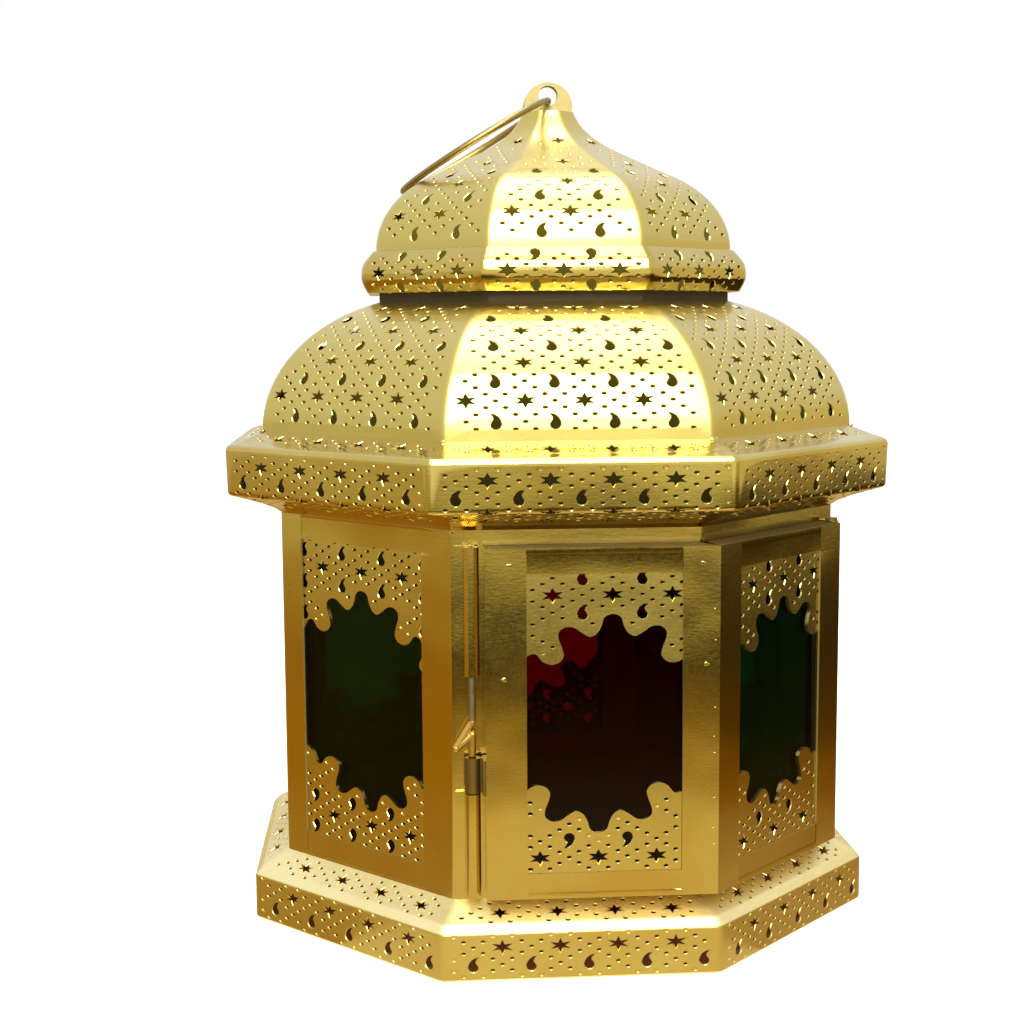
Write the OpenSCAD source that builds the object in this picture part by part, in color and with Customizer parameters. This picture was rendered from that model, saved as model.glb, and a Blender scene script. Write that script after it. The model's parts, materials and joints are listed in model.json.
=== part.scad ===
// Octagonal candle lantern with a two-sided door, a slide bolt and a hanging ring.
// Millimetres, +Z up. The origin is the middle of the foot; the door's left half faces -Y.

/* [Sheet metal] */
// Thickness of the sheet that the whole case is made of
sheet = 0.6; // [0.5:0.1:0.8]
// Thickness of the window glass
glass = 1.6; // [1.2:0.1:2]

/* [Plinth] */
// Width of the plinth across its flats
plinth_af = 184.8; // [180:0.2:190]
// Height of the upright wall of the plinth
plinth_wall_h = 13.5; // [10:0.5:18]
// Width of the lip that is folded in under the plinth
foot_lip = 5; // [3:0.5:7]
// Rise of the sloping deck above the plinth wall
deck_rise = 6.2; // [5:0.1:8]
// Width of the flat ledge inside the deck, on which the floor rests
deck_ledge = 8; // [6:0.5:12]

/* [Candle] */
// Inner radius of the candle cup
cup_bore_r = 20; // [18:0.5:24]
// Depth of the candle cup
cup_depth = 12; // [8:0.5:20]
// Width of the flange round the foot of the candle cup
cup_flange = 5; // [3:0.5:8]

/* [Body] */
// Width of the body across its flats
body_af = 165.2; // [160:0.2:168]
// Height of the body
body_h = 102.4; // [98:0.2:108]
// Width of the window cut-outs in the fixed faces
cutout_w = 48.6; // [44:0.2:50]
// Height of the band that is left below and above the fixed windows
cutout_band = 7.2; // [5:0.2:9]
// Sideways offset of the fixed windows on their faces
cutout_shift = -1.5; // [-2:0.1:2]

/* [Screens] */
// Overlap of a screen behind the edge of its cut-out
screen_lap = 2.5; // [2:0.1:3]
// Distance from a fixed cut-out's upper or lower edge to the crest of the middle scallop
valance_h = 12.5; // [10:0.5:16]
// Sideways offset of a fixed window's scallops, to the right above and to the left below
scallop_shift = 0.4; // [0:0.1:2.5]

/* [Door] */
// Distance that the door stands out from the body
door_proud = 8; // [7:0.1:10]
// Distance from the body's corner to the door's upright edge
door_inset = 8.6; // [8:0.1:10]
// Height of the body's bare band below the door
door_foot = 2.3; // [1.5:0.1:4]
// Height of the body's bare band above the door
door_head = 4.1; // [3:0.1:6]
// Overlap of the door beyond the opening behind it
door_lap = 2; // [1.5:0.1:3]
// Width of the upright margin of the door at its free edges
door_stile = 11; // [9:0.2:13]
// Width of the upright margin of the door beside its bend
door_bend_margin = 10; // [8:0.2:12]
// Height of the door's margin below and above its windows
door_rail = 7; // [6:0.2:9]
// Distance from a door window's upper or lower edge to the crest of the middle scallop
door_valance_h = 10.9; // [10:0.1:16]
// Sideways offset of a door window's scallops, to the right above and to the left below
door_scallop_shift = 1.9; // [0:0.1:2.5]
// Gap between the door's flanges and the body
door_gap = 0.3; // [0.2:0.1:0.6]
// Opening of the notch in the door's flanges at the bend
notch_w = 3; // [2:0.5:5]

/* [Hinge and latch] */
// Radius of the hinge pin and of the bolt's wire
wire_r = 1; // [0.8:0.1:1.2]
// Radial clearance between a wire and the tube round it
wire_clearance = 0.05; // [0.03:0.01:0.1]
// Wall thickness of the rolled tubes
tube_wall = 1.05; // [0.8:0.05:1.2]
// Distance from the tubes' axis to the door's upright edge
tube_offset = 3.4; // [3.2:0.1:4]
// Distance from the tubes' axis to the body's face
tube_proud = 3; // [2.6:0.1:3.4]
// Thickness of the leaves that the tubes are rolled from
leaf_t = 1.1; // [1:0.1:1.4]
// Width of a leaf beyond the tubes' axis
leaf_w = 4.6; // [4:0.1:4.8]
// Gap between the end faces of neighbouring tubes
tube_gap = 0.3; // [0.2:0.1:0.5]
// Height of the lower tubes
lower_tube_h = 28.5; // [24:0.5:30]
// Height of the upper tubes
upper_tube_h = 35; // [30:0.5:38]
// Height of the keeper tube on the door
keeper_h = 9.7; // [8:0.1:12]
// Downward travel of the bolt into its keeper
bolt_lock = 3; // [2:0.5:4]
// Sideways reach of the bolt's bent handle
handle_reach = 4.4; // [4:0.1:6]
// Drop of the bolt's handle from its return to its fold
handle_drop = 3.7; // [3:0.1:4.5]
// Height between the two bends where the handle meets the bolt's axis
handle_open = 3.5; // [3:0.1:4.5]
// Length of the bolt inside the upper tube
bolt_hold = 22; // [16:1:25]

/* [Cornice] */
// Width of the cornice across its flats
cornice_af = 195.8; // [190:0.2:200]
// Height of the cornice from the body to the dome
cornice_h = 24.1; // [22:0.1:28]
// Height of the sloping soffit under the cornice's wall
soffit_h = 6.2; // [5:0.1:8]
// Rise of the cornice's sloping deck
cornice_deck_h = 4.6; // [4:0.1:6]

/* [Large dome] */
// Width of the large dome across its flats
dome_af = 174.8; // [170:0.2:178]
// Half of the distance between the centres of the dome's two side curves
dome_core = 37; // [34:0.5:40]
// Height that the dome's side curve would reach at its centre
dome_rise = 39.3; // [36:0.1:44]
// Width across flats of the opening on top of the dome
dome_top_af = 106.2; // [102:0.2:110]
// Distance between two star openings in a row
star_pitch = 15.8; // [14:0.1:18]
// Width of a star opening
star_w = 5.2; // [4:0.1:7]
// Height of a star opening
star_h = 3.4; // [3:0.1:4]

/* [Gallery] */
// Height of the plain neck under the gallery
neck_h = 2.7; // [2:0.1:4]
// Height of the rounded gallery
gallery_h = 12.6; // [10:0.1:15]
// Width of the gallery across its flats
gallery_af = 116.4; // [112:0.2:120]

/* [Upper dome] */
// Width of the upper dome across its flats
onion_af = 107.2; // [104:0.2:110]
// Half of the distance between the centres of its two side curves
onion_core = 18.5; // [16:0.5:21]
// Height that its side curve would reach at its centre
onion_rise = 26.5; // [24:0.1:29]
// Half width at which the side curve turns into the straight slope
onion_shoulder = 35.1; // [33:0.1:37]
// Half width at the foot of the spire
spire_foot = 20.3; // [18:0.1:22]
// Height of the foot of the spire above the dome's base
spire_foot_h = 30.8; // [29:0.1:33]
// Half width at the top of the spire
spire_top = 7.85; // [7.6:0.05:9]
// Height of the top of the spire above the dome's base
spire_h = 43.1; // [41:0.1:46]

/* [Finial and ring] */
// Width of the finial
finial_w = 15; // [13:0.1:15]
// Thickness of the finial
finial_t = 4; // [3:0.1:5]
// Height of the finial
finial_h = 9.2; // [8.8:0.1:11]
// Radius of the hole through the finial
eye_r = 3; // [2.6:0.1:3.2]
// Metal left above the hole
eye_top = 1; // [0.8:0.1:1.4]
// Radius of the ring's wire
ring_wire_r = 1; // [0.8:0.1:1.2]
// Outer radius of the ring
ring_r = 27.3; // [25:0.1:28]
// Gap between the ring and the dome that it lies on
ring_gap = 0.3; // [0.2:0.1:0.5]

/* [Hidden] */
// A face's half width over its distance from the axis
half_side = tan(22.5);
seat_gap = 0.2;

plinth_a = plinth_af / 2;
body_a = body_af / 2;
body_in_a = body_a - sheet;
body_foot_z = plinth_wall_h + deck_rise;
body_top_z = body_foot_z + body_h;
floor_top_z = body_foot_z + sheet;
cutout_foot_z = body_foot_z + cutout_band;
cutout_h = body_h - 2 * cutout_band;

// Door: distances from the axis outwards, then heights
door_a = body_a + door_proud;
door_in_a = door_a - sheet;
door_back_a = body_a + door_gap;
door_edge_x = door_inset - body_a * half_side;
door_foot_z = body_foot_z + door_foot;
door_top_z = body_top_z - door_head;
door_h = door_top_z - door_foot_z;
door_bend_x = door_a * half_side;
door_cut_x0 = door_edge_x + door_stile;
door_cut_x1 = door_bend_x - door_bend_margin;
door_cut_w = door_cut_x1 - door_cut_x0;
door_cut_mid = (door_cut_x0 + door_cut_x1) / 2;
door_cut_z = door_foot_z + door_rail;
door_cut_h = door_h - 2 * door_rail;

// Hinge and latch tubes
tube_r = wire_r + wire_clearance + tube_wall;
bore_r = wire_r + wire_clearance;
tube_x = door_edge_x - tube_offset;
tube_a = body_a + tube_proud;
lower_tube_top = door_foot_z + lower_tube_h;
upper_tube_foot = door_top_z - upper_tube_h;
keeper_foot = lower_tube_top + tube_gap;
keeper_top = keeper_foot + keeper_h;
door_leaf_t = 0.8;
pin_head_r = 1.8;
pin_head_t = 0.8;

// Bolt: its tip, its two bends on the axis and the fold of its handle
bolt_tip_gap = 0.4;
bend_r = wire_r + 0.06;
handle_slope = atan2(handle_drop, handle_reach);
handle_clear = tube_r * tan(handle_slope) + wire_r / cos(handle_slope) + tube_gap;
bolt_tip_z = keeper_top + bolt_tip_gap;
lower_bend_z = keeper_top + bolt_lock + handle_clear;
upper_bend_z = lower_bend_z + handle_open;
fold_z = lower_bend_z - handle_drop;

cornice_a = cornice_af / 2;
dome_a = dome_af / 2;
dome_foot_z = body_top_z + cornice_h;
dome_top_a = dome_top_af / 2;
dome_turn = acos((dome_top_a - dome_core) / (dome_a - dome_core));
dome_top_z = dome_foot_z + dome_rise * sin(dome_turn);
ledge_w = 2.4;
neck_a = dome_top_a - 0.3;
neck_wall = 2;
gallery_foot_z = dome_top_z + neck_h;
gallery_a = gallery_af / 2;
onion_a = onion_af / 2;
onion_foot_z = gallery_foot_z + gallery_h;
onion_top_z = onion_foot_z + spire_h;
onion_turn = acos((onion_shoulder - onion_core) / (onion_a - onion_core));
spire_pull = [spire_top + 2.35, spire_foot_h + 5.3];

eye_z = onion_top_z + finial_h - eye_top - eye_r;
ring_axis_z = eye_z - eye_r + ring_wire_r + seat_gap;
ring_mid_r = ring_r - ring_wire_r;

// Side of the upper dome, from its foot to the top of its spire
onion_foot = [0, onion_foot_z];
onion_side = concat(
    ellipse([onion_core, onion_foot_z], onion_a - onion_core, onion_rise, 0, onion_turn, 10),
    bend([spire_foot, spire_foot_h] + onion_foot, spire_pull + onion_foot,
        [spire_top, spire_h] + onion_foot, 6)
);
// Half width of the ring at a distance from its pivot
function ring_span(reach) = sqrt(max(0, pow(ring_mid_r, 2) - pow(reach - ring_mid_r, 2)));
// The ring lies at the steepest slope that keeps it clear of the dome's left face
ring_slope = min([
    for (p = onion_side)
        let (run = p - [0, ring_axis_z], reach = norm(run))
        if (reach < 2 * ring_mid_r && ring_span(reach) < p[0] * half_side)
            atan2(-run[1], run[0]) - asin((ring_wire_r + ring_gap) / reach)
]);

brass = "goldenrod";
pale_brass = "khaki";
steel = "darkgray";

// Name and outward direction of each fixed face
FIXED_FACES = [
    ["left_front", -135], ["left", 180], ["left_back", 135],
    ["back", 90], ["right_back", 45], ["right", 0],
];
DOOR_SIDE_FACE = -45;
// Flat strips that the large dome's curved side is made of
DOME_STRIPS = 14;

// ---------- Curves ----------

function unit(v) = v / norm(v);
function left_of(p, q) = let (d = unit(q - p)) [-d[1], d[0]];

// Moves an open outline to its left by t, with mitred corners
function inset(path, t) = [
    for (i = [0 : len(path) - 1])
        let (
            before = left_of(path[max(i - 1, 0)], path[max(i, 1)]),
            after = left_of(path[min(i, len(path) - 2)], path[min(i + 1, len(path) - 1)])
        )
        path[i] + t * (before + after) / (1 + before * after)
];
function reversed(path) = [for (i = [len(path) - 1 : -1 : 0]) path[i]];
function wall(path, t) = concat(path, reversed(inset(path, t)));

function catmull(a, b, c, d, t) =
    b + t * (c - a) / 2 + t * t * (a - 2.5 * b + 2 * c - d / 2)
    + t * t * t * (1.5 * b - 1.5 * c + (d - a) / 2);
// Smooth line through points; the first point lies on the line of symmetry x = 0
function smooth(pts, steps) = [
    for (i = [0 : len(pts) - 2])
        let (
            before = i == 0 ? [-pts[1][0], pts[1][1]] : pts[i - 1],
            after = pts[min(i + 2, len(pts) - 1)]
        )
        for (j = [0 : steps - 1])
            catmull(before, pts[i], pts[i + 1], after, j / steps)
];
function ellipse(centre, rx, rz, from, to, steps) = [
    for (i = [0 : steps])
        let (t = from + (to - from) * i / steps)
        centre + [rx * cos(t), rz * sin(t)]
];
function bend(p, q, r, steps) = [
    for (i = [0 : steps])
        let (t = i / steps)
        (1 - t) * (1 - t) * p + 2 * t * (1 - t) * q + t * t * r
];

// ---------- Octagonal shapes; sizes are distances from the axis to the flats ----------

module octagon(a, h) {
    rotate([0, 0, 22.5])
        cylinder(r = a / cos(22.5), h = h, $fn = 8);
}

module octagon_tube(a_out, a_in, h) {
    difference() {
        octagon(a_out, h);
        translate([0, 0, -1])
            octagon(a_in, h + 2);
    }
}

// Sweeps a closed outline of [distance, height], run anticlockwise, round the eight faces
module octagon_shell(outline) {
    n = len(outline);
    points = [
        for (k = [0 : 7])
            for (p = outline)
                let (r = p[0] / cos(22.5), az = 22.5 + 45 * k)
                [r * cos(az), r * sin(az), p[1]]
    ];
    faces = [
        for (k = [0 : 7])
            for (i = [0 : n - 1])
                let (next = (k + 1) % 8, j = (i + 1) % n)
                [k * n + i, k * n + j, next * n + j, next * n + i]
    ];
    polyhedron(points, faces, convexity = 6);
}

// ---------- Face coordinates: x to the right, y = -distance from the axis, z up ----------

module on_face(direction) {
    rotate([0, 0, direction + 90])
        children();
}

// Carries a shape on the door's front half over to its side half
module door_mirrored() {
    mirror([cos(22.5), sin(22.5), 0])
        children();
}

module plate(a_in, a_out, x0, x1, z0, z1) {
    translate([x0, -a_out, z0])
        cube([x1 - x0, a_out - a_in, z1 - z0]);
}

module upright(x, a, z0, z1, r) {
    translate([x, -a, z0])
        cylinder(r = r, h = z1 - z0, $fn = 48);
}

// ---------- Windows ----------

// Half of a scalloped edge: distance from its middle, depth below its crest
SCALLOPS = [
    [0, 0], [2.2, 0.9], [3, 3.2], [4.2, 5.2], [6.1, 6.1], [8.3, 5], [10.4, 3.6], [12.6, 3.4],
    [14.4, 4.6], [14.5, 6.6], [13.5, 9.3], [13.2, 11.4], [14.5, 13], [16.7, 13.5], [18.9, 12.6],
    [20.3, 10.9], [21.6, 10.5], [23.2, 11.4], [24.8, 14], [28, 16],
];
scallop_line = smooth(SCALLOPS, 2);

// The part of the half edge within reach, ended at that distance
function scallops_to(reach) =
    let (kept = [for (p = scallop_line) if (p[0] < reach) p])
    concat(kept, [[reach, kept[len(kept) - 1][1]]]);

// One quarter of the window's outline, placed by its signs
function window_quarter(shift, half_w, crest, right, up) = [
    for (p = scallops_to(half_w - right * shift))
        [shift + right * p[0], crest - up * p[1]]
];

function window_outline(half_w, low, high, shift) = concat(
    window_quarter(shift, half_w, high, 1, 1),
    reversed(window_quarter(-shift, half_w, low, 1, -1)),
    window_quarter(-shift, half_w, low, -1, -1),
    reversed(window_quarter(shift, half_w, high, -1, 1))
);

// A screen behind a cut-out of width w and height h that starts at height z
module screen(a_in, mid, w, z, h, valance, shift) {
    difference() {
        plate(a_in, a_in + sheet, mid - w / 2 - screen_lap, mid + w / 2 + screen_lap,
            z - screen_lap, z + h + screen_lap);
        translate([mid, -a_in + 1, 0])
            rotate([90, 0, 0])
                linear_extrude(height = sheet + 2)
                    polygon(window_outline(w / 2, z + valance, z + h - valance, shift));
    }
}

pane_lap = screen_lap - 0.8;

module pane(a_out, mid, w, z, h) {
    plate(a_out - glass, a_out, mid - w / 2 - pane_lap, mid + w / 2 + pane_lap,
        z - pane_lap, z + h + pane_lap);
}

// Four bent tabs that hold a pane and its screen against a wall whose inner face is at a;
// their feet end at reach from the middle of the window
module clips(a, mid, w, z, h, reach) {
    clip_h = 6;
    finger = 3;
    riser_x = w / 2 + screen_lap + seat_gap;
    back_a = a - sheet - glass;
    for (side = [-1, 1])
        for (level = [0.2, 0.8])
            translate([mid, 0, z + h * level])
                scale_x(side)
                    union() {
                        plate(a - sheet, a, riser_x, reach, 0, clip_h);
                        plate(back_a - sheet, a, riser_x, riser_x + sheet, 0, clip_h);
                        plate(back_a - sheet, back_a, riser_x - finger, riser_x + sheet, 0, clip_h);
                    }
}

module scale_x(side) {
    if (side < 0)
        mirror([1, 0, 0])
            children();
    else
        children();
}

module fixed_screen(direction) {
    color(pale_brass)
        on_face(direction)
            screen(body_in_a - sheet, cutout_shift, cutout_w, cutout_foot_z, cutout_h,
                valance_h, scallop_shift);
}

module fixed_pane(direction, tint) {
    color(tint, 0.6)
        on_face(direction)
            pane(body_in_a - sheet, cutout_shift, cutout_w, cutout_foot_z, cutout_h);
}

module pane_clips() {
    reach = (body_in_a - sheet) * half_side - abs(cutout_shift) - seat_gap;
    color(steel)
        for (face = FIXED_FACES)
            on_face(face[1])
                clips(body_in_a, cutout_shift, cutout_w, cutout_foot_z, cutout_h, reach);
}

// ---------- Plinth, floor and body ----------

module plinth_wall() {
    color(brass)
        union() {
            octagon_tube(plinth_a, plinth_a - sheet, plinth_wall_h);
            octagon_tube(plinth_a, plinth_a - foot_lip, sheet);
        }
}

module plinth_deck() {
    slope = atan2(deck_rise, plinth_a - body_a);
    across = sheet / sin(slope);
    low_z = body_foot_z - sheet;
    low_a = body_a + sheet / tan(slope);
    color(pale_brass)
        octagon_shell([
            [plinth_a - across, plinth_wall_h],
            [plinth_a, plinth_wall_h],
            [body_a, body_foot_z],
            [body_a - deck_ledge, body_foot_z],
            [body_a - deck_ledge, low_z],
            [low_a - across, low_z],
        ]);
}

module floor_plate() {
    color(brass)
        translate([0, 0, body_foot_z])
            octagon(body_in_a - seat_gap, sheet);
}

module candle_cup() {
    cup_r = cup_bore_r + sheet;
    color(steel)
        translate([0, 0, floor_top_z])
            difference() {
                union() {
                    cylinder(r = cup_r, h = sheet + cup_depth, $fn = 96);
                    cylinder(r = cup_r + cup_flange, h = sheet, $fn = 96);
                }
                translate([0, 0, sheet])
                    cylinder(r = cup_bore_r, h = cup_depth + 1, $fn = 96);
            }
}

module body_shell() {
    color(brass)
        difference() {
            translate([0, 0, body_foot_z])
                octagon_tube(body_a, body_in_a, body_h);
            for (face = FIXED_FACES)
                on_face(face[1])
                    plate(body_in_a - 5, body_a + 5, cutout_shift - cutout_w / 2,
                        cutout_shift + cutout_w / 2, cutout_foot_z, cutout_foot_z + cutout_h);
            door_band(body_in_a - 5, body_a + 5, door_foot_z + door_lap, door_h - 2 * door_lap,
                door_edge_x + door_lap);
        }
}

// ---------- Door ----------

// A point in plan on the door's front half, carried over to its side half
bend_out = [sin(22.5), -cos(22.5)];
function door_mirror(p) = 2 * (p * bend_out) * bend_out - p;

// A band that follows the door round its bend, between two distances from the axis
module door_band(a_in, a_out, z, h, edge_x = door_edge_x) {
    front = [
        [a_in * half_side, -a_in], [edge_x, -a_in],
        [edge_x, -a_out], [a_out * half_side, -a_out],
    ];
    translate([0, 0, z])
        linear_extrude(height = h)
            polygon(concat(front, [for (i = [2, 1]) door_mirror(front[i])]));
}

// The notch is widest at the back and ends inside the door's bend
module flange_notch(z) {
    across = [-bend_out[1], bend_out[0]];
    tip = bend_out * door_in_a / cos(22.5);
    root = bend_out * (body_a / cos(22.5) - 2);
    translate([0, 0, z - 1])
        linear_extrude(height = sheet + 2)
            polygon([tip, root + across * notch_w / 2, root - across * notch_w / 2]);
}

module door_half_cutout() {
    plate(door_in_a - 1, door_a + 1, door_cut_x0, door_cut_x1, door_cut_z, door_cut_z + door_cut_h);
}

module door_side_flange() {
    plate(door_back_a, door_a, door_edge_x, door_edge_x + sheet, door_foot_z, door_top_z);
}

module door_frame() {
    color(brass)
        difference() {
            union() {
                door_band(door_in_a, door_a, door_foot_z, door_h);
                door_band(door_back_a, door_a, door_foot_z, sheet);
                door_band(door_back_a, door_a, door_top_z - sheet, sheet);
                door_side_flange();
                door_mirrored()
                    door_side_flange();
            }
            door_half_cutout();
            door_mirrored()
                door_half_cutout();
            flange_notch(door_foot_z);
            flange_notch(door_top_z - sheet);
        }
}

module door_screen_front() {
    color(pale_brass)
        screen(door_in_a - sheet, door_cut_mid, door_cut_w, door_cut_z, door_cut_h,
            door_valance_h, door_scallop_shift);
}

module door_screen_side() {
    color(pale_brass)
        on_face(DOOR_SIDE_FACE)
            screen(door_in_a - sheet, -door_cut_mid, door_cut_w, door_cut_z, door_cut_h,
                door_valance_h, door_scallop_shift);
}

module door_pane_front() {
    color("firebrick", 0.6)
        pane(door_in_a - sheet, door_cut_mid, door_cut_w, door_cut_z, door_cut_h);
}

module door_pane_side() {
    color("seagreen", 0.6)
        on_face(DOOR_SIDE_FACE)
            pane(door_in_a - sheet, -door_cut_mid, door_cut_w, door_cut_z, door_cut_h);
}

module door_clips() {
    reach = door_cut_w / 2 + min(door_stile, door_bend_margin) - 2 * sheet;
    color(steel)
        union() {
            clips(door_in_a, door_cut_mid, door_cut_w, door_cut_z, door_cut_h, reach);
            on_face(DOOR_SIDE_FACE)
                clips(door_in_a, -door_cut_mid, door_cut_w, door_cut_z, door_cut_h, reach);
        }
}

// ---------- Hinge and latch ----------

// A tube rolled from a leaf that lies on the body, beyond the door's front free edge
module frame_tube(z0, z1) {
    difference() {
        union() {
            upright(tube_x, tube_a, z0, z1, tube_r);
            plate(body_a, body_a + leaf_t, tube_x - leaf_w, tube_x + 1, z0, z1);
        }
        upright(tube_x, tube_a, z0 - 1, z1 + 1, bore_r);
    }
}

// A tube that is held by a leaf on the door's front free edge
module door_tube(z0, z1) {
    difference() {
        union() {
            upright(tube_x, tube_a, z0, z1, tube_r);
            plate(body_a + 1, door_a - 1, door_edge_x - door_leaf_t, door_edge_x, z0, z1);
            plate(tube_a - door_leaf_t / 2, tube_a + door_leaf_t / 2,
                tube_x + bore_r + 0.3, door_edge_x, z0, z1);
        }
        upright(tube_x, tube_a, z0 - 1, z1 + 1, bore_r);
    }
}

module hinge_upper() {
    color(brass)
        door_mirrored()
            frame_tube(upper_tube_foot, door_top_z);
}

module hinge_lower() {
    color(brass)
        door_mirrored()
            frame_tube(door_foot_z, lower_tube_top);
}

module hinge_door_leaf() {
    color(brass)
        door_mirrored()
            door_tube(lower_tube_top + tube_gap, upper_tube_foot - tube_gap);
}

module hinge_pin() {
    color(steel)
        door_mirrored()
            union() {
                upright(tube_x, tube_a, door_foot_z, door_top_z + pin_head_t / 2, wire_r);
                upright(tube_x, tube_a, door_top_z, door_top_z + pin_head_t, pin_head_r);
            }
}

module latch_upper() {
    color(brass)
        frame_tube(upper_tube_foot, door_top_z);
}

module latch_lower() {
    color(brass)
        frame_tube(door_foot_z, lower_tube_top);
}

module latch_keeper() {
    color(brass)
        door_tube(keeper_foot, keeper_top);
}

// Wire between two [x, z] points on the bolt's plane, with a rounded far end
module wire(from, to) {
    run = to - from;
    translate([from[0], 0, from[1]])
        rotate([0, atan2(run[0], run[1]), 0])
            cylinder(r = wire_r, h = norm(run), $fn = 32);
    translate([to[0], 0, to[1]])
        sphere(r = bend_r, $fn = 32);
}

module latch_bolt() {
    rod_top = [0, upper_tube_foot + bolt_hold];
    upper_bend = [0, upper_bend_z];
    fold = [-handle_reach, fold_z];
    lower_bend = [0, lower_bend_z];
    color(steel)
        translate([tube_x, -tube_a, 0])
            union() {
                wire(rod_top, upper_bend);
                wire(upper_bend, fold);
                wire(fold, lower_bend);
                translate([0, 0, bolt_tip_z])
                    cylinder(r = wire_r, h = lower_bend_z - bolt_tip_z, $fn = 32);
            }
}

// ---------- Cornice, domes and gallery ----------

module cornice() {
    wall_top_z = dome_foot_z - cornice_deck_h + 1;
    path = [
        [body_a - ledge_w, body_top_z],
        [body_a, body_top_z],
        [body_a + 1.8, body_top_z + 1.3],
        [body_a + 5.9, body_top_z + soffit_h / 2],
        [cornice_a - 0.9, body_top_z + soffit_h],
        [cornice_a - 0.1, body_top_z + soffit_h + 1.2],
        [cornice_a, wall_top_z - 2],
        [cornice_a - 1.2, wall_top_z],
        [cornice_a - 4.2, wall_top_z + 1],
        [dome_a, dome_foot_z],
        [dome_a - ledge_w, dome_foot_z],
    ];
    color(brass)
        octagon_shell(wall(path, sheet));
}

// Diamond-shaped openings, a row to every third strip of each of the dome's faces
module dome_stars() {
    reach = [dome_a - dome_core, dome_rise];
    for (face = [0 : 7])
        for (strip = [2 : 3 : DOME_STRIPS - 3])
            let (
                turn = dome_turn * (strip + 0.5) / DOME_STRIPS,
                place = [dome_core + reach[0] * cos(turn), dome_foot_z + reach[1] * sin(turn)],
                tilt = atan2(reach[1] * cos(turn), reach[0] * sin(turn))
            )
            for (column = [-1 : 1])
                on_face(45 * face)
                    translate([column * star_pitch, -place[0], place[1]])
                        rotate([tilt, 0, 0])
                            scale([star_w / 2, star_h / 2, 1])
                                cylinder(r = 1, h = 4 * sheet, center = true, $fn = 4);
}

module large_dome() {
    path = concat(
        ellipse([dome_core, dome_foot_z], dome_a - dome_core, dome_rise, 0, dome_turn, DOME_STRIPS),
        [[dome_top_a - ledge_w, dome_top_z]]
    );
    color(brass)
        difference() {
            octagon_shell(level_foot(wall(path, sheet), dome_foot_z));
            dome_stars();
        }
}

// Brings the last corner of a wall's outline down to the height that its first one stands on
function level_foot(outline, z) = [
    for (i = [0 : len(outline) - 1])
        i == len(outline) - 1 ? [outline[i][0], z] : outline[i]
];

module gallery_neck() {
    color(brass)
        translate([0, 0, dome_top_z])
            octagon_tube(neck_a, neck_a - neck_wall, neck_h);
}

module gallery() {
    flat_top_a = onion_a + 0.5;
    path = [
        [neck_a - neck_wall, gallery_foot_z],
        [gallery_a - 2.8, gallery_foot_z],
        [gallery_a - 0.9, gallery_foot_z + gallery_h * 0.16],
        [gallery_a, gallery_foot_z + gallery_h * 0.4],
        [gallery_a - 0.2, gallery_foot_z + gallery_h * 0.6],
        [gallery_a - 2.3, gallery_foot_z + gallery_h * 0.88],
        [flat_top_a, gallery_foot_z + gallery_h],
        [onion_a - ledge_w, gallery_foot_z + gallery_h],
    ];
    color(pale_brass)
        octagon_shell(wall(path, sheet));
}

module upper_dome() {
    color(brass)
        union() {
            octagon_shell(level_foot(wall(onion_side, sheet), onion_foot_z));
            translate([0, 0, onion_top_z - sheet])
                octagon(spire_top - sheet / 2, sheet);
        }
}

module finial() {
    arch_r = finial_w / 2;
    color(brass)
        translate([0, finial_t / 2, 0])
            rotate([90, 0, 0])
                difference() {
                    union() {
                        translate([-arch_r, onion_top_z, 0])
                            cube([finial_w, finial_h - arch_r, finial_t]);
                        intersection() {
                            translate([0, onion_top_z + finial_h - arch_r, 0])
                                cylinder(r = arch_r, h = finial_t, $fn = 96);
                            translate([-arch_r, onion_top_z, 0])
                                cube([finial_w, finial_h, finial_t]);
                        }
                    }
                    translate([0, eye_z, -1])
                        cylinder(r = eye_r, h = finial_t + 2, $fn = 64);
                }
}

module hanging_ring() {
    color(pale_brass)
        translate([0, 0, ring_axis_z])
            rotate([0, -ring_slope, 0])
                translate([-ring_mid_r, 0, 0])
                    rotate_extrude($fn = 96)
                        translate([ring_mid_r, 0])
                            circle(r = ring_wire_r, $fn = 24);
}

plinth_wall();
plinth_deck();
floor_plate();
candle_cup();
body_shell();
fixed_screen(FIXED_FACES[0][1]);  // screen_left_front
fixed_screen(FIXED_FACES[1][1]);  // screen_left
fixed_screen(FIXED_FACES[2][1]);  // screen_left_back
fixed_screen(FIXED_FACES[3][1]);  // screen_back
fixed_screen(FIXED_FACES[4][1]);  // screen_right_back
fixed_screen(FIXED_FACES[5][1]);  // screen_right
fixed_pane(FIXED_FACES[0][1], "seagreen");  // pane_left_front
fixed_pane(FIXED_FACES[1][1], "firebrick");  // pane_left
fixed_pane(FIXED_FACES[2][1], "seagreen");  // pane_left_back
fixed_pane(FIXED_FACES[3][1], "firebrick");  // pane_back
fixed_pane(FIXED_FACES[4][1], "seagreen");  // pane_right_back
fixed_pane(FIXED_FACES[5][1], "firebrick");  // pane_right
pane_clips();
hinge_upper();
hinge_lower();
hinge_pin();
latch_upper();
latch_lower();
door_frame();
door_screen_front();
door_screen_side();
door_pane_front();
door_pane_side();
door_clips();
hinge_door_leaf();
latch_keeper();
latch_bolt();
cornice();
large_dome();
gallery_neck();
gallery();
upper_dome();
finial();
hanging_ring();
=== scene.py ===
"""An octagonal candle lantern of gold-lacquered, punched sheet metal.

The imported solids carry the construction; this file dresses them. Every punched sheet is drawn
flat, in millimetres, and folded round the lantern; the rest is filed, rolled or cast as it is.
"""

import json
import math

import bmesh
import bpy
from bpy.props import FloatProperty, FloatVectorProperty, PointerProperty
from bpy.types import Operator, Panel, PropertyGroup
from mathutils import Matrix, Vector


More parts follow.
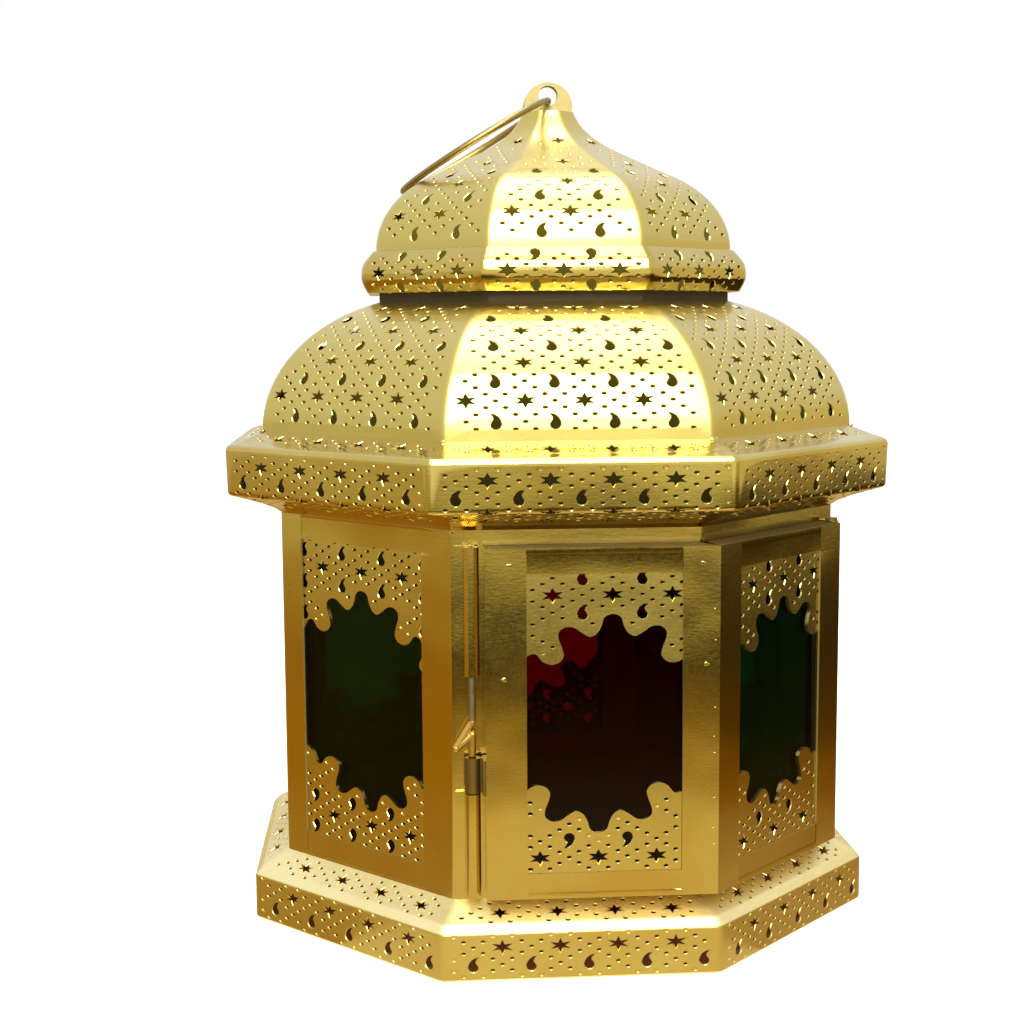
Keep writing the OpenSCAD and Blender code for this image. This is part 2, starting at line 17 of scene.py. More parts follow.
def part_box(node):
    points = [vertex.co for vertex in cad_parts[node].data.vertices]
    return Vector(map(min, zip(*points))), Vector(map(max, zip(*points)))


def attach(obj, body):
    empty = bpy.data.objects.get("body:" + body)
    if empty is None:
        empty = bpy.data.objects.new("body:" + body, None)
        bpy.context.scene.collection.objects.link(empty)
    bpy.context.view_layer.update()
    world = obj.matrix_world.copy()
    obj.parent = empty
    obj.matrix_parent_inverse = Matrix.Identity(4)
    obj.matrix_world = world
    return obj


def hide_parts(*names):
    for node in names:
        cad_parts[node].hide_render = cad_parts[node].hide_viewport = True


bl_info = {
    "name": "Punched Candle Lantern",
    "version": (1, 0, 0),
    "blender": (4, 5, 0),
    "location": "View3D > Sidebar > Lantern",
    "description": "Dresses an octagonal candle lantern in punched, gold-lacquered sheet",
    "category": "Object",
}

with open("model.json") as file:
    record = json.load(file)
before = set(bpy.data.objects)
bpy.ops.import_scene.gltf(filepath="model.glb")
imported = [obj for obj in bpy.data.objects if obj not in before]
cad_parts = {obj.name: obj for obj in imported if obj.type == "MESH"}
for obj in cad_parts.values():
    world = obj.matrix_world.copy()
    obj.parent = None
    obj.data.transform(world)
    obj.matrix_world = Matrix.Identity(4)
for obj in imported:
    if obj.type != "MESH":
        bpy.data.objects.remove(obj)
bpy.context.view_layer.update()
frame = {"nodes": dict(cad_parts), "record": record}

MM = 0.001
FACES = 8
# Half the angle of one face, and half a face's width over its distance from the axis
HALF_TURN = math.pi / FACES
HALF_SIDE = math.tan(HALF_TURN)
# Which way the faces look, in degrees from +X; the door covers two of them
FRONT = -90
DOOR_SIDE = -45
FIXED_FACES = {
    "left_front": -135, "left": 180, "left_back": 135, "back": 90, "right_back": 45, "right": 0,
}


def node_mm(name):
    """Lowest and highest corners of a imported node, in millimetres."""
    low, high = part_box(name)
    return Vector(low) / MM, Vector(high) / MM


# Levels and half widths of the case in millimetres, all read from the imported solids. The half
# widths, which end in _A, are measured square to a face.
PLINTH_A = node_mm("plinth_wall")[1].x
PLINTH_TOP = node_mm("plinth_wall")[1].z
BODY_A = node_mm("body_shell")[1].x
BODY_FOOT = node_mm("body_shell")[0].z
BODY_TOP = node_mm("body_shell")[1].z
CORNICE_A = node_mm("cornice")[1].x
DOME_A = node_mm("large_dome")[1].x
DOME_FOOT, DOME_TOP = (corner.z for corner in node_mm("large_dome"))
NECK_A = node_mm("gallery_neck")[1].x
GALLERY_A = node_mm("gallery")[1].x
GALLERY_FOOT, GALLERY_TOP = (corner.z for corner in node_mm("gallery"))
ONION_A = node_mm("upper_dome")[1].x
ONION_FOOT, ONION_TOP = (corner.z for corner in node_mm("upper_dome"))
DOOR_A = -node_mm("door_frame")[0].y
DOOR_FOOT, DOOR_TOP = (corner.z for corner in node_mm("door_frame"))
# How far from the axis the arcs of the two domes have their centres
DOME_CORE = 37.0
ONION_CORE = 18.5
# How far a sheet's end reaches in where its neighbour stands on it
FLANGE = 2.4


# ---------------------------------------------------------------- settings

class LanternSheet(PropertyGroup):
    """How the metal is rolled, folded and punched."""

    thickness: FloatProperty(
        name="Sheet", description="Thickness of the sheet in mm", default=0.6, min=0.4, max=0.8)
    fold: FloatProperty(
        name="Fold", description="Width in mm that a fold takes from each face it joins",
        default=1.3, min=0.3, max=2)
    pitch: FloatProperty(
        name="Pitch", description="Distance in mm between two stars in a row",
        default=15.8, min=12, max=20)
    rim: FloatProperty(
        name="Rim", description="Width in mm of the sunken rim round a punched hole",
        default=0.22, min=0.1, max=0.6)
    sink: FloatProperty(
        name="Sink", description="Depth in mm to which a punch drags the hole's rim",
        default=0.24, min=0.05, max=0.6)


def srgb(code):
    """Linear colour of an sRGB hex code."""
    channels = (int(code[i:i + 2], 16) / 255 for i in (1, 3, 5))
    return tuple(c / 12.92 if c <= 0.04045 else ((c + 0.055) / 1.055) ** 2.4 for c in channels) + (1,)


class LanternColours(PropertyGroup):
    """Lacquer and glass."""

    lacquer: FloatVectorProperty(
        name="Lacquer", description="Gold lacquer of the case where it is clean",
        subtype="COLOR", size=4, default=srgb("#D4BF62"))
    handled: FloatVectorProperty(
        name="Handled lacquer", description="The same lacquer where it lies thicker",
        subtype="COLOR", size=4, default=srgb("#CCAF4C"))
    inside: FloatVectorProperty(
        name="Raw inside", description="Unlacquered inner face of the sheet",
        subtype="COLOR", size=4, default=srgb("#7C6A34"))
    green: FloatVectorProperty(
        name="Green glass", description="Colour that one face of a green pane lets through",
        subtype="COLOR", size=4, default=srgb("#08461F"))
    ruby: FloatVectorProperty(
        name="Ruby glass", description="Colour that one face of a red pane lets through",
        subtype="COLOR", size=4, default=srgb("#6E030B"))


class LanternStage(PropertyGroup):
    """The studio round the lantern."""

    front: FloatProperty(
        name="Front softbox", description="Power of the tall light in front in W",
        default=35, min=1, max=100)
    overhead: FloatProperty(
        name="Overhead softbox", description="Power of the light above in W",
        default=10, min=0, max=100)


def sheet_settings():
    return bpy.context.scene.lantern_sheet


# ---------------------------------------------------------------- materials
# A pattern's scale is given as grains per millimetre over MM, a bump's depth in MM.

def set_inputs(tree, node, **inputs):
    """Sets a shader node's sockets by value or by link; _6 stands for the socket numbered 6."""
    for key, value in inputs.items():
        number = key[1:]
        socket = node.inputs[int(number) if number.isdigit() else key.replace("_", " ")]
        if isinstance(value, bpy.types.NodeSocket):
            tree.links.new(value, socket)
        else:
            socket.default_value = value


def add_node(tree, kind, settings=None, **inputs):
    """Adds a shader node, sets its properties and then its sockets."""
    node = tree.nodes.new(kind)
    for key, value in (settings or {}).items():
        setattr(node, key, value)
    set_inputs(tree, node, **inputs)
    return node


def new_material(name):
    """Starts a material: its node tree, its shader and the place on the object in metres."""
    material = bpy.data.materials.new(name)
    material.use_nodes = True
    tree = material.node_tree
    place = add_node(tree, "ShaderNodeTexCoord").outputs["Object"]
    return tree, tree.nodes["Principled BSDF"], place


def lacquered_brass(name, clean, handled, roughness):
    """Brass-plated sheet under clear gold lacquer: satin where it was rolled, with streaks
    along the sheet, specks of dust, and slow waves where it was bent by hand."""
    tree, shader, place = new_material(name)
    # clouds of thicker lacquer, some 30 mm across
    clouds = add_node(tree, "ShaderNodeTexNoise", Vector=place, Scale=0.032 / MM, Detail=3.0)
    blend = add_node(tree, "ShaderNodeMapRange", Value=clouds.outputs["Fac"],
                     From_Min=0.38, From_Max=0.68)
    colour = add_node(tree, "ShaderNodeMix", {"data_type": "RGBA"},
                      _0=blend.outputs["Result"], _6=clean, _7=handled)
    # dust and pin-holes in the lacquer, just under 1 mm, and rolling streaks 0.6 by 2.4 mm
    specks = add_node(tree, "ShaderNodeTexNoise", Vector=place, Scale=1.1 / MM, Detail=2.0)
    stretch = add_node(tree, "ShaderNodeMapping", Vector=place,
                       Scale=(0.42 / MM, 0.42 / MM, 1.8 / MM))
    streaks = add_node(tree, "ShaderNodeTexNoise", Vector=stretch.outputs["Vector"], Scale=1.0)
    uneven = add_node(tree, "ShaderNodeMath", {"operation": "ADD"},
                      _0=specks.outputs["Fac"], _1=streaks.outputs["Fac"])
    rough = add_node(tree, "ShaderNodeMapRange", Value=uneven.outputs["Value"],
                     From_Min=0.7, From_Max=1.35, To_Min=roughness - 0.02, To_Max=roughness + 0.035)
    # waves of hand-bent sheet, about 25 mm long, then the grain
    waves = add_node(tree, "ShaderNodeTexNoise", Vector=place, Scale=0.038 / MM, Detail=1.0)
    slow = add_node(tree, "ShaderNodeBump", Strength=0.17, Distance=4 * MM,
                    Height=waves.outputs["Fac"])
    fine = add_node(tree, "ShaderNodeBump", Strength=0.03, Distance=0.3 * MM,
                    Height=uneven.outputs["Value"], Normal=slow.outputs["Normal"])
    set_inputs(tree, shader, Base_Color=colour.outputs[2], Metallic=1.0,
               Roughness=rough.outputs["Result"], Coat_Weight=1.0,
               Coat_Roughness=min(roughness, 0.22), Coat_IOR=1.5, Normal=fine.outputs["Normal"])


def raw_inside(name, colour):
    """The sheet's unlacquered back: dull, sooty and scratched; a darker copy paints the shade on the
    neck.
    """
    tree, shader, place = new_material(name)
    soot = add_node(tree, "ShaderNodeTexNoise", Vector=place, Scale=0.06 / MM, Detail=4.0)
    shade = add_node(tree, "ShaderNodeMapRange", Value=soot.outputs["Fac"],
                     To_Min=0.5, To_Max=0.85)
    set_inputs(tree, shader, Base_Color=colour, Metallic=0.3, Roughness=shade.outputs["Result"])


def window_glass(name, colour):
    """Cathedral glass, coloured right through, with the faint ripple of drawn sheet."""
    tree, shader, place = new_material(name)
    ripple = add_node(tree, "ShaderNodeTexNoise", Vector=place, Scale=0.06 / MM, Detail=1.0)
    bump = add_node(tree, "ShaderNodeBump", Strength=0.1, Distance=1 * MM,
                    Height=ripple.outputs["Fac"])
    set_inputs(tree, shader, Base_Color=colour, Roughness=0.04, IOR=1.25,
               Transmission_Weight=1.0, Normal=bump.outputs["Normal"])


def plain_metal(name, code, roughness):
    """Wire, tin plate or a casting: one colour, with fine scratches from handling."""
    tree, shader, place = new_material(name)
    scratches = add_node(tree, "ShaderNodeTexNoise", Vector=place, Scale=0.7 / MM, Detail=4.0)
    rough = add_node(tree, "ShaderNodeMapRange", Value=scratches.outputs["Fac"],
                     To_Min=roughness - 0.08, To_Max=roughness + 0.12)
    set_inputs(tree, shader, Base_Color=srgb(code), Metallic=1.0, Roughness=rough.outputs["Result"])
    return tree, shader, place


def latch_wire(name, bare, sprayed, level):
    """Steel wire whose bent end, below a level in millimetres, caught the gold spray."""
    tree, shader, place = plain_metal(name, bare, 0.3)
    height = add_node(tree, "ShaderNodeSeparateXYZ", Vector=place)
    blend = add_node(tree, "ShaderNodeMapRange", Value=height.outputs["Z"],
                     From_Min=(level - 3) * MM, From_Max=(level + 1) * MM)
    colour = add_node(tree, "ShaderNodeMix", {"data_type": "RGBA"}, _0=blend.outputs["Result"],
                      _6=srgb(sprayed), _7=srgb(bare))
    set_inputs(tree, shader, Base_Color=colour.outputs[2])


def finishes():
    """All materials by name. Those of the lantern are made when the first is asked for."""
    if "case lacquer" not in bpy.data.materials:
        colours = bpy.context.scene.lantern_colours
        lacquered_brass("case lacquer", colours.lacquer, colours.handled, roughness=0.15)
        lacquered_brass("screen lacquer", colours.lacquer, colours.lacquer, roughness=0.24)
        lacquered_brass("plinth lacquer", colours.lacquer, colours.handled, roughness=0.4)
        # a pale copy of the lacquer for the plinth's deck: a painted highlight of the light from
        # above
        lacquered_brass("deck lacquer with painted highlight", srgb("#FAECB4"), srgb("#F2E09A"), roughness=0.5)
        lacquered_brass("dome lacquer", colours.lacquer, colours.lacquer, roughness=0.33)
        raw_inside("raw sheet", colours.inside)
        # the neck under the overhanging gallery: a dark colour that paints its shade
        raw_inside("neck in painted shade", srgb("#3E3318"))
        window_glass("bottle green glass", colours.green)
        window_glass("ruby glass", colours.ruby)
        latch_wire("steel wire", bare="#A0A088", sprayed="#D2B05C", level=72.5)
        plain_metal("brassed wire", "#A08C54", roughness=0.35)
        plain_metal("tin plate", "#8A877C", roughness=0.4)
        plain_metal("cast brass", "#9C8E5C", roughness=0.45)
        # a darker brass, for the latch keeper
        plain_metal("darker brass", "#7A6230", roughness=0.5)
    return bpy.data.materials


def finish_with(piece, *names):
    """Gives a piece one finish or, where it is sheet with a raw back, its outer and inner ones."""
    piece.data.materials.clear()
    for name in names:
        piece.data.materials.append(finishes()[name])


# ---------------------------------------------------------------- small mesh tools

def select_only(piece):
    bpy.ops.object.select_all(action="DESELECT")
    piece.select_set(True)
    bpy.context.view_layer.objects.active = piece


def apply_all(piece):
    """Applies all modifiers of a piece."""
    select_only(piece)
    for modifier in list(piece.modifiers):
        bpy.ops.object.modifier_apply(modifier=modifier.name)


def soften(piece, degrees=30):
    """Shades curved faces smooth, while flat ones stay flat right up to their folds."""
    select_only(piece)
    bpy.ops.object.shade_smooth_by_angle(angle=math.radians(degrees))
    flat = piece.modifiers.new("flat faces", "WEIGHTED_NORMAL")
    flat.keep_sharp = True
    bpy.ops.object.modifier_apply(modifier=flat.name)


def raw_backs(piece, is_raw):
    """Gives the raw finish to the faces that is_raw picks by their centre and normal."""
    for face in piece.data.polygons:
        if is_raw(face.center / MM, face.normal):
            face.material_index = 1


def looks_inwards(centre, normal):
    """True for a face that is turned to the axis."""
    outward = Vector((centre.x, centre.y, 0)).normalized()
    return normal.dot(outward) < -0.5


def mesh_in_mm(data):
    """A bmesh, in millimetres, of a mesh in metres."""
    mesh = bmesh.new()
    mesh.from_mesh(data)
    bmesh.ops.scale(mesh, vec=(1 / MM, 1 / MM, 1 / MM), verts=mesh.verts)
    return mesh


def write_in_metres(mesh, data):
    """Writes a bmesh, drawn in millimetres, into a mesh in metres."""
    bmesh.ops.scale(mesh, vec=(MM, MM, MM), verts=mesh.verts)
    mesh.to_mesh(data)
    mesh.free()


def mesh_piece(name, mesh):
    """Puts a bmesh, drawn in millimetres, into the scene as a piece of its own."""
    data = bpy.data.meshes.new(name)
    write_in_metres(mesh, data)
    piece = bpy.data.objects.new(name, data)
    bpy.context.collection.objects.link(piece)
    return piece


def ride_in_place_of(piece, body, slot, *nodes):
    """Lets a piece ride on a body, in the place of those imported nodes."""
    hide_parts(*nodes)
    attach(piece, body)


# ---------------------------------------------------------------- punches

def mirrored(outline, across=-1, up=1):
    """The outline turned over sideways, upside down or both; it stays anticlockwise."""
    flipped = [(across * x, up * y) for x, y in outline]
    return flipped[::-1] if across * up < 0 else flipped


def ellipse_outline(width, height, steps):
    turns = [math.tau * i / steps for i in range(steps)]
    return [(width / 2 * math.cos(turn), height / 2 * math.sin(turn)) for turn in turns]


# Outlines of the three punches in millimetres, run anticlockwise from the top
STAR = [(0, 2.0), (-0.62, 0.62), (-2.8, 0.95), (-1.1, 0), (-2.8, -0.95), (-0.62, -0.62),
        (0, -2.0), (0.62, -0.62), (2.8, -0.95), (1.1, 0), (2.8, 0.95), (0.62, 0.62)]
COMMA = [(1.45, 2.1), (0.35, 1.85), (-0.65, 1.15), (-1.25, 0.15), (-1.45, -0.8), (-1.05, -1.6),
         (-0.25, -2.05), (0.6, -1.95), (1.2, -1.45), (1.35, -0.7), (0.95, -0.05), (0.5, 0.55),
         (0.65, 1.3)]
DOT = ellipse_outline(1.2, 0.68, 8)
PUNCHES = {
    "star": STAR,
    "comma": COMMA,
    "comma_left": mirrored(COMMA),
    "comma_down": mirrored(COMMA, -1, -1),
    "dot": DOT,
}
# Where the dots fall round the star of one cell, in shares of the cell's width and height
DOT_PLACES = [(0.5, 0), (0, 0.5), (1 / 3, 1 / 6), (-1 / 3, 1 / 6), (1 / 3, -1 / 6),
              (-1 / 3, -1 / 6), (1 / 6, 1 / 3), (-1 / 6, 1 / 3), (1 / 6, -1 / 3), (-1 / 6, -1 / 3)]
# How far a mark reaches from its middle: across a gore, and any way on a screen
GORE_REACH = {"star": 2.6, "comma": 1.7, "comma_left": 1.7, "comma_down": 1.7, "dot": 0.9}
SCREEN_REACH = {"star": 2.5, "comma": 1.9, "comma_down": 1.9, "dot": 0.9}


def grown(outline, width):
    """The outline moved outwards by width, with its sharp corners cut short."""
    sharpest = 0.7
    points = [Vector(point) for point in outline]
    result = []
    for i, point in enumerate(points):
        before = (point - points[i - 1]).normalized()
        after = (points[(i + 1) % len(points)] - point).normalized()
        out_before = Vector((before.y, -before.x))
        out_after = Vector((after.y, -after.x))
        share = max(1 + out_before.dot(out_after), sharpest)
        result.append(tuple(point + (out_before + out_after) * width / share))
    return result


def punch_marks(comma, star_at, height, rows, columns, spread=0.0, pitch=None):
    """Every mark of the pattern as (punch, across, along). comma is the punch between the
    stars, star_at the place of the star in row and column 0, and height the distance between
    two rows of stars, which grows by spread with each row. rows and columns are ranges."""
    pitch = pitch or sheet_settings().pitch
    marks = []
    for row in range(*rows):
        for column in range(*columns):
            cell = [("star", 0, 0), (comma, 0.5, 0.5)]
            cell += [("dot", across, along) for across, along in DOT_PLACES]
            for punch, across, along in cell:
                step = row + along
                marks.append((punch, star_at[0] + (column + across) * pitch,
                              star_at[1] + height * step + spread * step * abs(step)))
    return marks


def within(marks, low, high):
    """The marks that lie between two distances along the sheet."""
    return [mark for mark in marks if low < mark[2] < high]


# ---------------------------------------------------------------- flat sheets

def filled_outline(outlines):
    """A flat mesh in millimetres inside the first outline, open at all the others."""
    curve = bpy.data.curves.new("blank", "CURVE")
    curve.dimensions = "2D"
    curve.fill_mode = "BOTH"
    for outline in outlines:
        line = curve.splines.new("POLY")
        line.points.add(len(outline) - 1)
        for point, (x, y) in zip(line.points, outline):
            point.co = (x, y, 0, 1)
        line.use_cyclic_u = True
    blank = bpy.data.objects.new("blank", curve)
    bpy.context.collection.objects.link(blank)
    select_only(blank)
    bpy.ops.object.convert(target="MESH")
    mesh = bmesh.new()
    mesh.from_mesh(blank.data)
    bpy.data.objects.remove(blank)
    return mesh


def punched_blank(border, marks, openings=(), dimples=()):
    """A flat punched sheet: marks are (punch, x, y) holes with sunken rims, dimples the same
    but not struck through. Depth below the sheet's face is along -Z."""
    settings = sheet_settings()
    struck = [(PUNCHES[punch], x, y, False) for punch, x, y in marks]
    struck += [(PUNCHES[punch], x, y, True) for punch, x, y in dimples]
    rims = [[(x + px, y + py) for px, py in grown(outline, settings.rim)]
            for outline, x, y, _closed in struck]
    mesh = filled_outline([border, *openings, *rims])
    for (outline, x, y, closed), rim in zip(struck, rims):
        outer = [mesh.verts.new((px, py, 0)) for px, py in rim]
        inner = [mesh.verts.new((x + px, y + py, -settings.sink)) for px, py in outline]
        for i in range(len(rim)):
            j = (i + 1) % len(rim)
            mesh.faces.new((outer[i], outer[j], inner[j], inner[i]))
        if closed:
            mesh.faces.new(inner)
    bmesh.ops.remove_doubles(mesh, verts=mesh.verts, dist=1e-4)
    return mesh


def thicken(piece, outer):
    """Gives a skin the sheet's thickness, inwards, with the raw side inside."""
    finish_with(piece, outer, "raw sheet")
    wall = piece.modifiers.new("sheet", "SOLIDIFY")
    wall.thickness = sheet_settings().thickness * MM
    wall.offset = -1
    wall.material_offset = 1
    apply_all(piece)
    soften(piece)


# ---------------------------------------------------------------- folded shells

def bend(start, corner, end, steps):
    """Points of a curve that leaves start and reaches end along lines through the corner."""
    shares = [i / steps for i in range(steps + 1)]
    return [(1 - u) ** 2 * start + 2 * u * (1 - u) * corner + u * u * end for u in shares]


def rounded_path(corners):
    """A path of (out, up) points; a corner given as (out, up, radius) becomes a bend."""
    step = math.radians(22)
    path = []
    for i, corner in enumerate(corners):
        here = Vector(corner[:2])
        if len(corner) == 2:
            path.append(here)
            continue
        back = (Vector(corners[i - 1][:2]) - here).normalized()
        onward = (Vector(corners[i + 1][:2]) - here).normalized()
        turn = math.pi - back.angle(onward)
        reach = corner[2] * math.tan(turn / 2)
        path += bend(here + back * reach, here, here + onward * reach, max(2, round(turn / step)))
    return path


def arc_path(centre, across, up, end, steps):
    """Points of an elliptical arc, from its outermost point round to an angle."""
    turns = [end * i / steps for i in range(steps + 1)]
    return [(centre[0] + across * math.cos(turn), centre[1] + up * math.sin(turn)) for turn in turns]


class Profile:
    """A fold line seen from the side: distances along it, and the place and outward direction
    at each distance."""

    def __init__(self, path):
        self.points = [Vector(point) for point in path]
        self.along = [0.0]
        for start, end in zip(self.points, self.points[1:]):
            self.along.append(self.along[-1] + (end - start).length)

    def segment(self, along):
        last = len(self.points) - 2
        for i in range(last + 1):
            if along <= self.along[i + 1] or i == last:
                return i

    def place(self, along):
        i = self.segment(along)
        start, end = self.points[i], self.points[i + 1]
        share = (along - self.along[i]) / (self.along[i + 1] - self.along[i])
        return start.lerp(end, share)

    def outward(self, along):
        i = self.segment(along)
        run = (self.points[i + 1] - self.points[i]).normalized()
        return Vector((run.y, -run.x))

    def half_width(self, along):
        return self.place(along).x * HALF_SIDE

    def reaches(self, level, step=0.1):
        """The distance along the profile at which it first stands above that level."""
        tries = (i * step for i in range(int(self.along[-1] / step) + 1))
        return next(along for along in tries if self.place(along).y > level)


def face_turn(face):
    """Turns something from the front face to the one that many faces on."""
    return Matrix.Rotation(face * math.tau / FACES, 3, "Z")


def front_turn(direction):
    """Turns the face that looks in a direction to the front."""
    return Matrix.Rotation(math.radians(FRONT - direction), 3, "Z")


def folded_shell(name, profile, marks, keep, dimple=None, finish="case lacquer"):
    """Eight punched gores, folded along a profile and joined by rounded ridges. The marks that
    keep picks are struck through, and the others that dimple picks are only dented."""
    fold = sheet_settings().fold
    levels = profile.along
    right = [(profile.half_width(along) - fold, along) for along in levels]
    border = right + [(-x, along) for x, along in reversed(right)]
    holes = [mark for mark in marks if keep(*mark)]
    dents = [mark for mark in marks if dimple and not keep(*mark) and dimple(*mark)]
    gore = punched_blank(border, holes, dimples=dents)
    for level in levels[1:-1]:
        bmesh.ops.bisect_plane(gore, geom=gore.verts[:] + gore.edges[:] + gore.faces[:],
                               plane_co=(0, level, 0), plane_no=(0, 1, 0), dist=1e-4)
    for vert in gore.verts:
        across, along, depth = vert.co
        along = min(max(along, 0.0), levels[-1])
        spot = profile.place(along) + profile.outward(along) * depth
        vert.co = (across, -spot.x, spot.y)
    shell = bmesh.new()
    source = bpy.data.meshes.new("gore")
    gore.to_mesh(source)
    gore.free()
    for face in range(FACES):
        first = len(shell.verts)
        shell.from_mesh(source)
        shell.verts.ensure_lookup_table()
        bmesh.ops.rotate(shell, cent=(0, 0, 0), verts=shell.verts[first:], matrix=face_turn(face))
    bpy.data.meshes.remove(source)
    add_ridges(shell, profile, fold)
    bmesh.ops.remove_doubles(shell, verts=shell.verts, dist=1e-3)
    piece = mesh_piece(name, shell)
    thicken(piece, finish)
    return piece


def add_ridges(shell, profile, fold, steps=3):
    """Rounded folds between neighbouring gores."""
    for face in range(FACES):
        rows = []
        for along in profile.along:
            place = profile.place(along)
            half = place.x * HALF_SIDE
            ridge = Vector((half, -place.x, place.y))
            start = Vector((half - fold, -place.x, place.y))
            end = face_turn(1) @ Vector((fold - half, -place.x, place.y))
            rows.append([shell.verts.new(face_turn(face) @ point)
                         for point in bend(start, ridge, end, steps)])
        for low, high in zip(rows, rows[1:]):
            for i in range(steps):
                shell.faces.new((low[i], low[i + 1], high[i + 1], high[i]))


def clear_of_folds(profile, bands, margin, widest=math.inf):
    """Says which marks fit between the ridges, within the bands, which are stretches of the
    profile, and no farther than widest from the middle of the gore."""
    def fits(punch, across, along):
        in_band = any(low <= along <= high for low, high in bands)
        room = profile.half_width(along) - margin - GORE_REACH[punch]
        return in_band and abs(across) < min(room, widest)
    return fits


def dots_only(fits):
    return lambda punch, across, along: punch == "dot" and fits(punch, across, along)


# ---------------------------------------------------------------- pieces: the case

class LANTERN_OT_plinth(Operator):
    """Fold the punched plinth and its sloping deck"""

    bl_idname = "lantern.plinth"
    bl_label = "Plinth"

    def execute(self, context):
        lip = 5.0
        ledge = 8.0
        profile = Profile(rounded_path([
            (PLINTH_A - lip, 0), (PLINTH_A, 0, 0.9), (PLINTH_A, PLINTH_TOP - 0.3, 0.8),
            (PLINTH_A - 2, PLINTH_TOP + 1.9, 2.5), (BODY_A, BODY_FOOT, 0.3),
            (BODY_A - ledge, BODY_FOOT),
        ]))
        # the stretches of the profile that marks may take, and one where dots are only dented
        wall = (lip + 1.0, lip + PLINTH_TOP - 2.2)
        faint = (wall[0], wall[1] + 1.4)
        deck_start = lip + PLINTH_TOP
        deck = (deck_start + 1.2, deck_start + 10.4)
        row = 9.7
        wall_marks = punch_marks("comma", (-5.9, lip + 9.2), row, rows=(-1, 1), columns=(-3, 5))
        deck_marks = punch_marks("comma", (-6.2, deck_start + 6.3), row, rows=(0, 1),
                                 columns=(-3, 5))
        marks = within(wall_marks, *faint) + within(deck_marks, *deck)
        keep = clear_of_folds(profile, [(wall[0] + 1.0, wall[1]), deck], margin=2.8)
        dimple = dots_only(clear_of_folds(profile, [faint], margin=1.2))
        plinth = folded_shell("plinth", profile, marks, keep, dimple, "plinth lacquer")
        # the deck's upward faces take the pale copy of the lacquer, a painted highlight
        plinth.data.materials.append(finishes()["deck lacquer with painted highlight"])
        painted_highlight_slot = len(plinth.data.materials) - 1
        for face in plinth.data.polygons:
            if face.material_index == 0 and face.normal.z > 0.5 and face.center.z > PLINTH_TOP * MM:
                face.material_index = painted_highlight_slot
        ride_in_place_of(plinth, "case", "brass_sheet", "plinth_wall", "plinth_deck")
        return {"FINISHED"}


class LANTERN_OT_cornice(Operator):
    """Fold the punched cornice: soffit, wall and sloping deck"""

    bl_idname = "lantern.cornice"
    bl_label = "Cornice"

    def execute(self, context):
        wall_top = DOME_FOOT - 3.6
        profile = Profile(rounded_path([
            (BODY_A - FLANGE, BODY_TOP), (BODY_A, BODY_TOP, 0.3),
            (BODY_A + 1.8, BODY_TOP + 1.3, 1),
            (BODY_A + 5.9, BODY_TOP + 3.1, 3), (CORNICE_A - 0.4, BODY_TOP + 6.0, 1.4),
            (CORNICE_A, wall_top - 0.4, 1.8), (CORNICE_A - 4.2, wall_top + 1, 2),
            (DOME_A, DOME_FOOT, 0.3), (DOME_A - FLANGE, DOME_FOOT),
        ]))
        wall_star = profile.reaches(BODY_TOP + 14.7)
        deck_star = profile.reaches(DOME_FOOT - 1.7)
        pitch = 16.4
        row = 9.2
        # the soffit and wall, and the deck, as far as dots are dented
        wall = (wall_star - 18.5, wall_star + 3.4)
        deck = (deck_star - 3.2, deck_star + 3.2)
        wall_marks = punch_marks("comma", (-8.7, wall_star), row, rows=(-2, 1), columns=(-3, 5),
                                 pitch=pitch)
        deck_marks = punch_marks("comma", (-8.2, deck_star), row, rows=(0, 1), columns=(-3, 5),
                                 pitch=pitch)
        marks = within(wall_marks, *wall) + within(deck_marks, *deck)
        struck = [(wall[0], wall_star + 1.8), (deck_star - 2, deck_star + 2)]
        keep = clear_of_folds(profile, struck, margin=2.6)
        dimple = dots_only(clear_of_folds(profile, [wall], margin=1.2))
        cornice = folded_shell("cornice_sheet", profile, marks, keep, dimple)
        reshape(cornice, solder_ridges)
        ride_in_place_of(cornice, "case", "brass_sheet", "cornice")
        return {"FINISHED"}


def solder_ridges(mesh):
    """A lump of solder on each ridge of the cornice, where the dome stands on it."""
    reach = (DOME_A + 0.2) / math.cos(HALF_TURN)
    for face in range(FACES):
        turn = face_turn(face + 0.5)
        radius = 1.1 + 0.4 * math.sin(2.4 * face)
        add_weld(mesh, turn @ Vector((reach, 0, DOME_FOOT + 0.1)), turn @ Vector((1, 0, 1)),
                 radius, height=0.4)


class LANTERN_OT_large_dome(Operator):
    """Bend and join the eight gores of the large dome"""

    bl_idname = "lantern.large_dome"
    bl_label = "Large dome"

    def execute(self, context):
        top_a = NECK_A + 0.3
        across = DOME_A - DOME_CORE
        turn = math.acos((top_a - DOME_CORE) / across)
        rise = (DOME_TOP - DOME_FOOT) / math.sin(turn)
        path = arc_path((DOME_CORE, DOME_FOOT), across, rise, turn, steps=16)
        profile = Profile(path + [(top_a - FLANGE, DOME_TOP)])
        marks = punch_marks("comma_left", (1.6, 10.9), 11.1, rows=(-1, 5), columns=(-3, 4),
                            spread=0.4)
        keep = clear_of_folds(profile, [(3.2, profile.along[-2] - 4.5)], margin=2.0, widest=31.5)
        dome = folded_shell("large_dome_sheet", profile, marks, keep, finish="dome lacquer")
        ride_in_place_of(dome, "case", "brass_sheet", "large_dome")
        return {"FINISHED"}


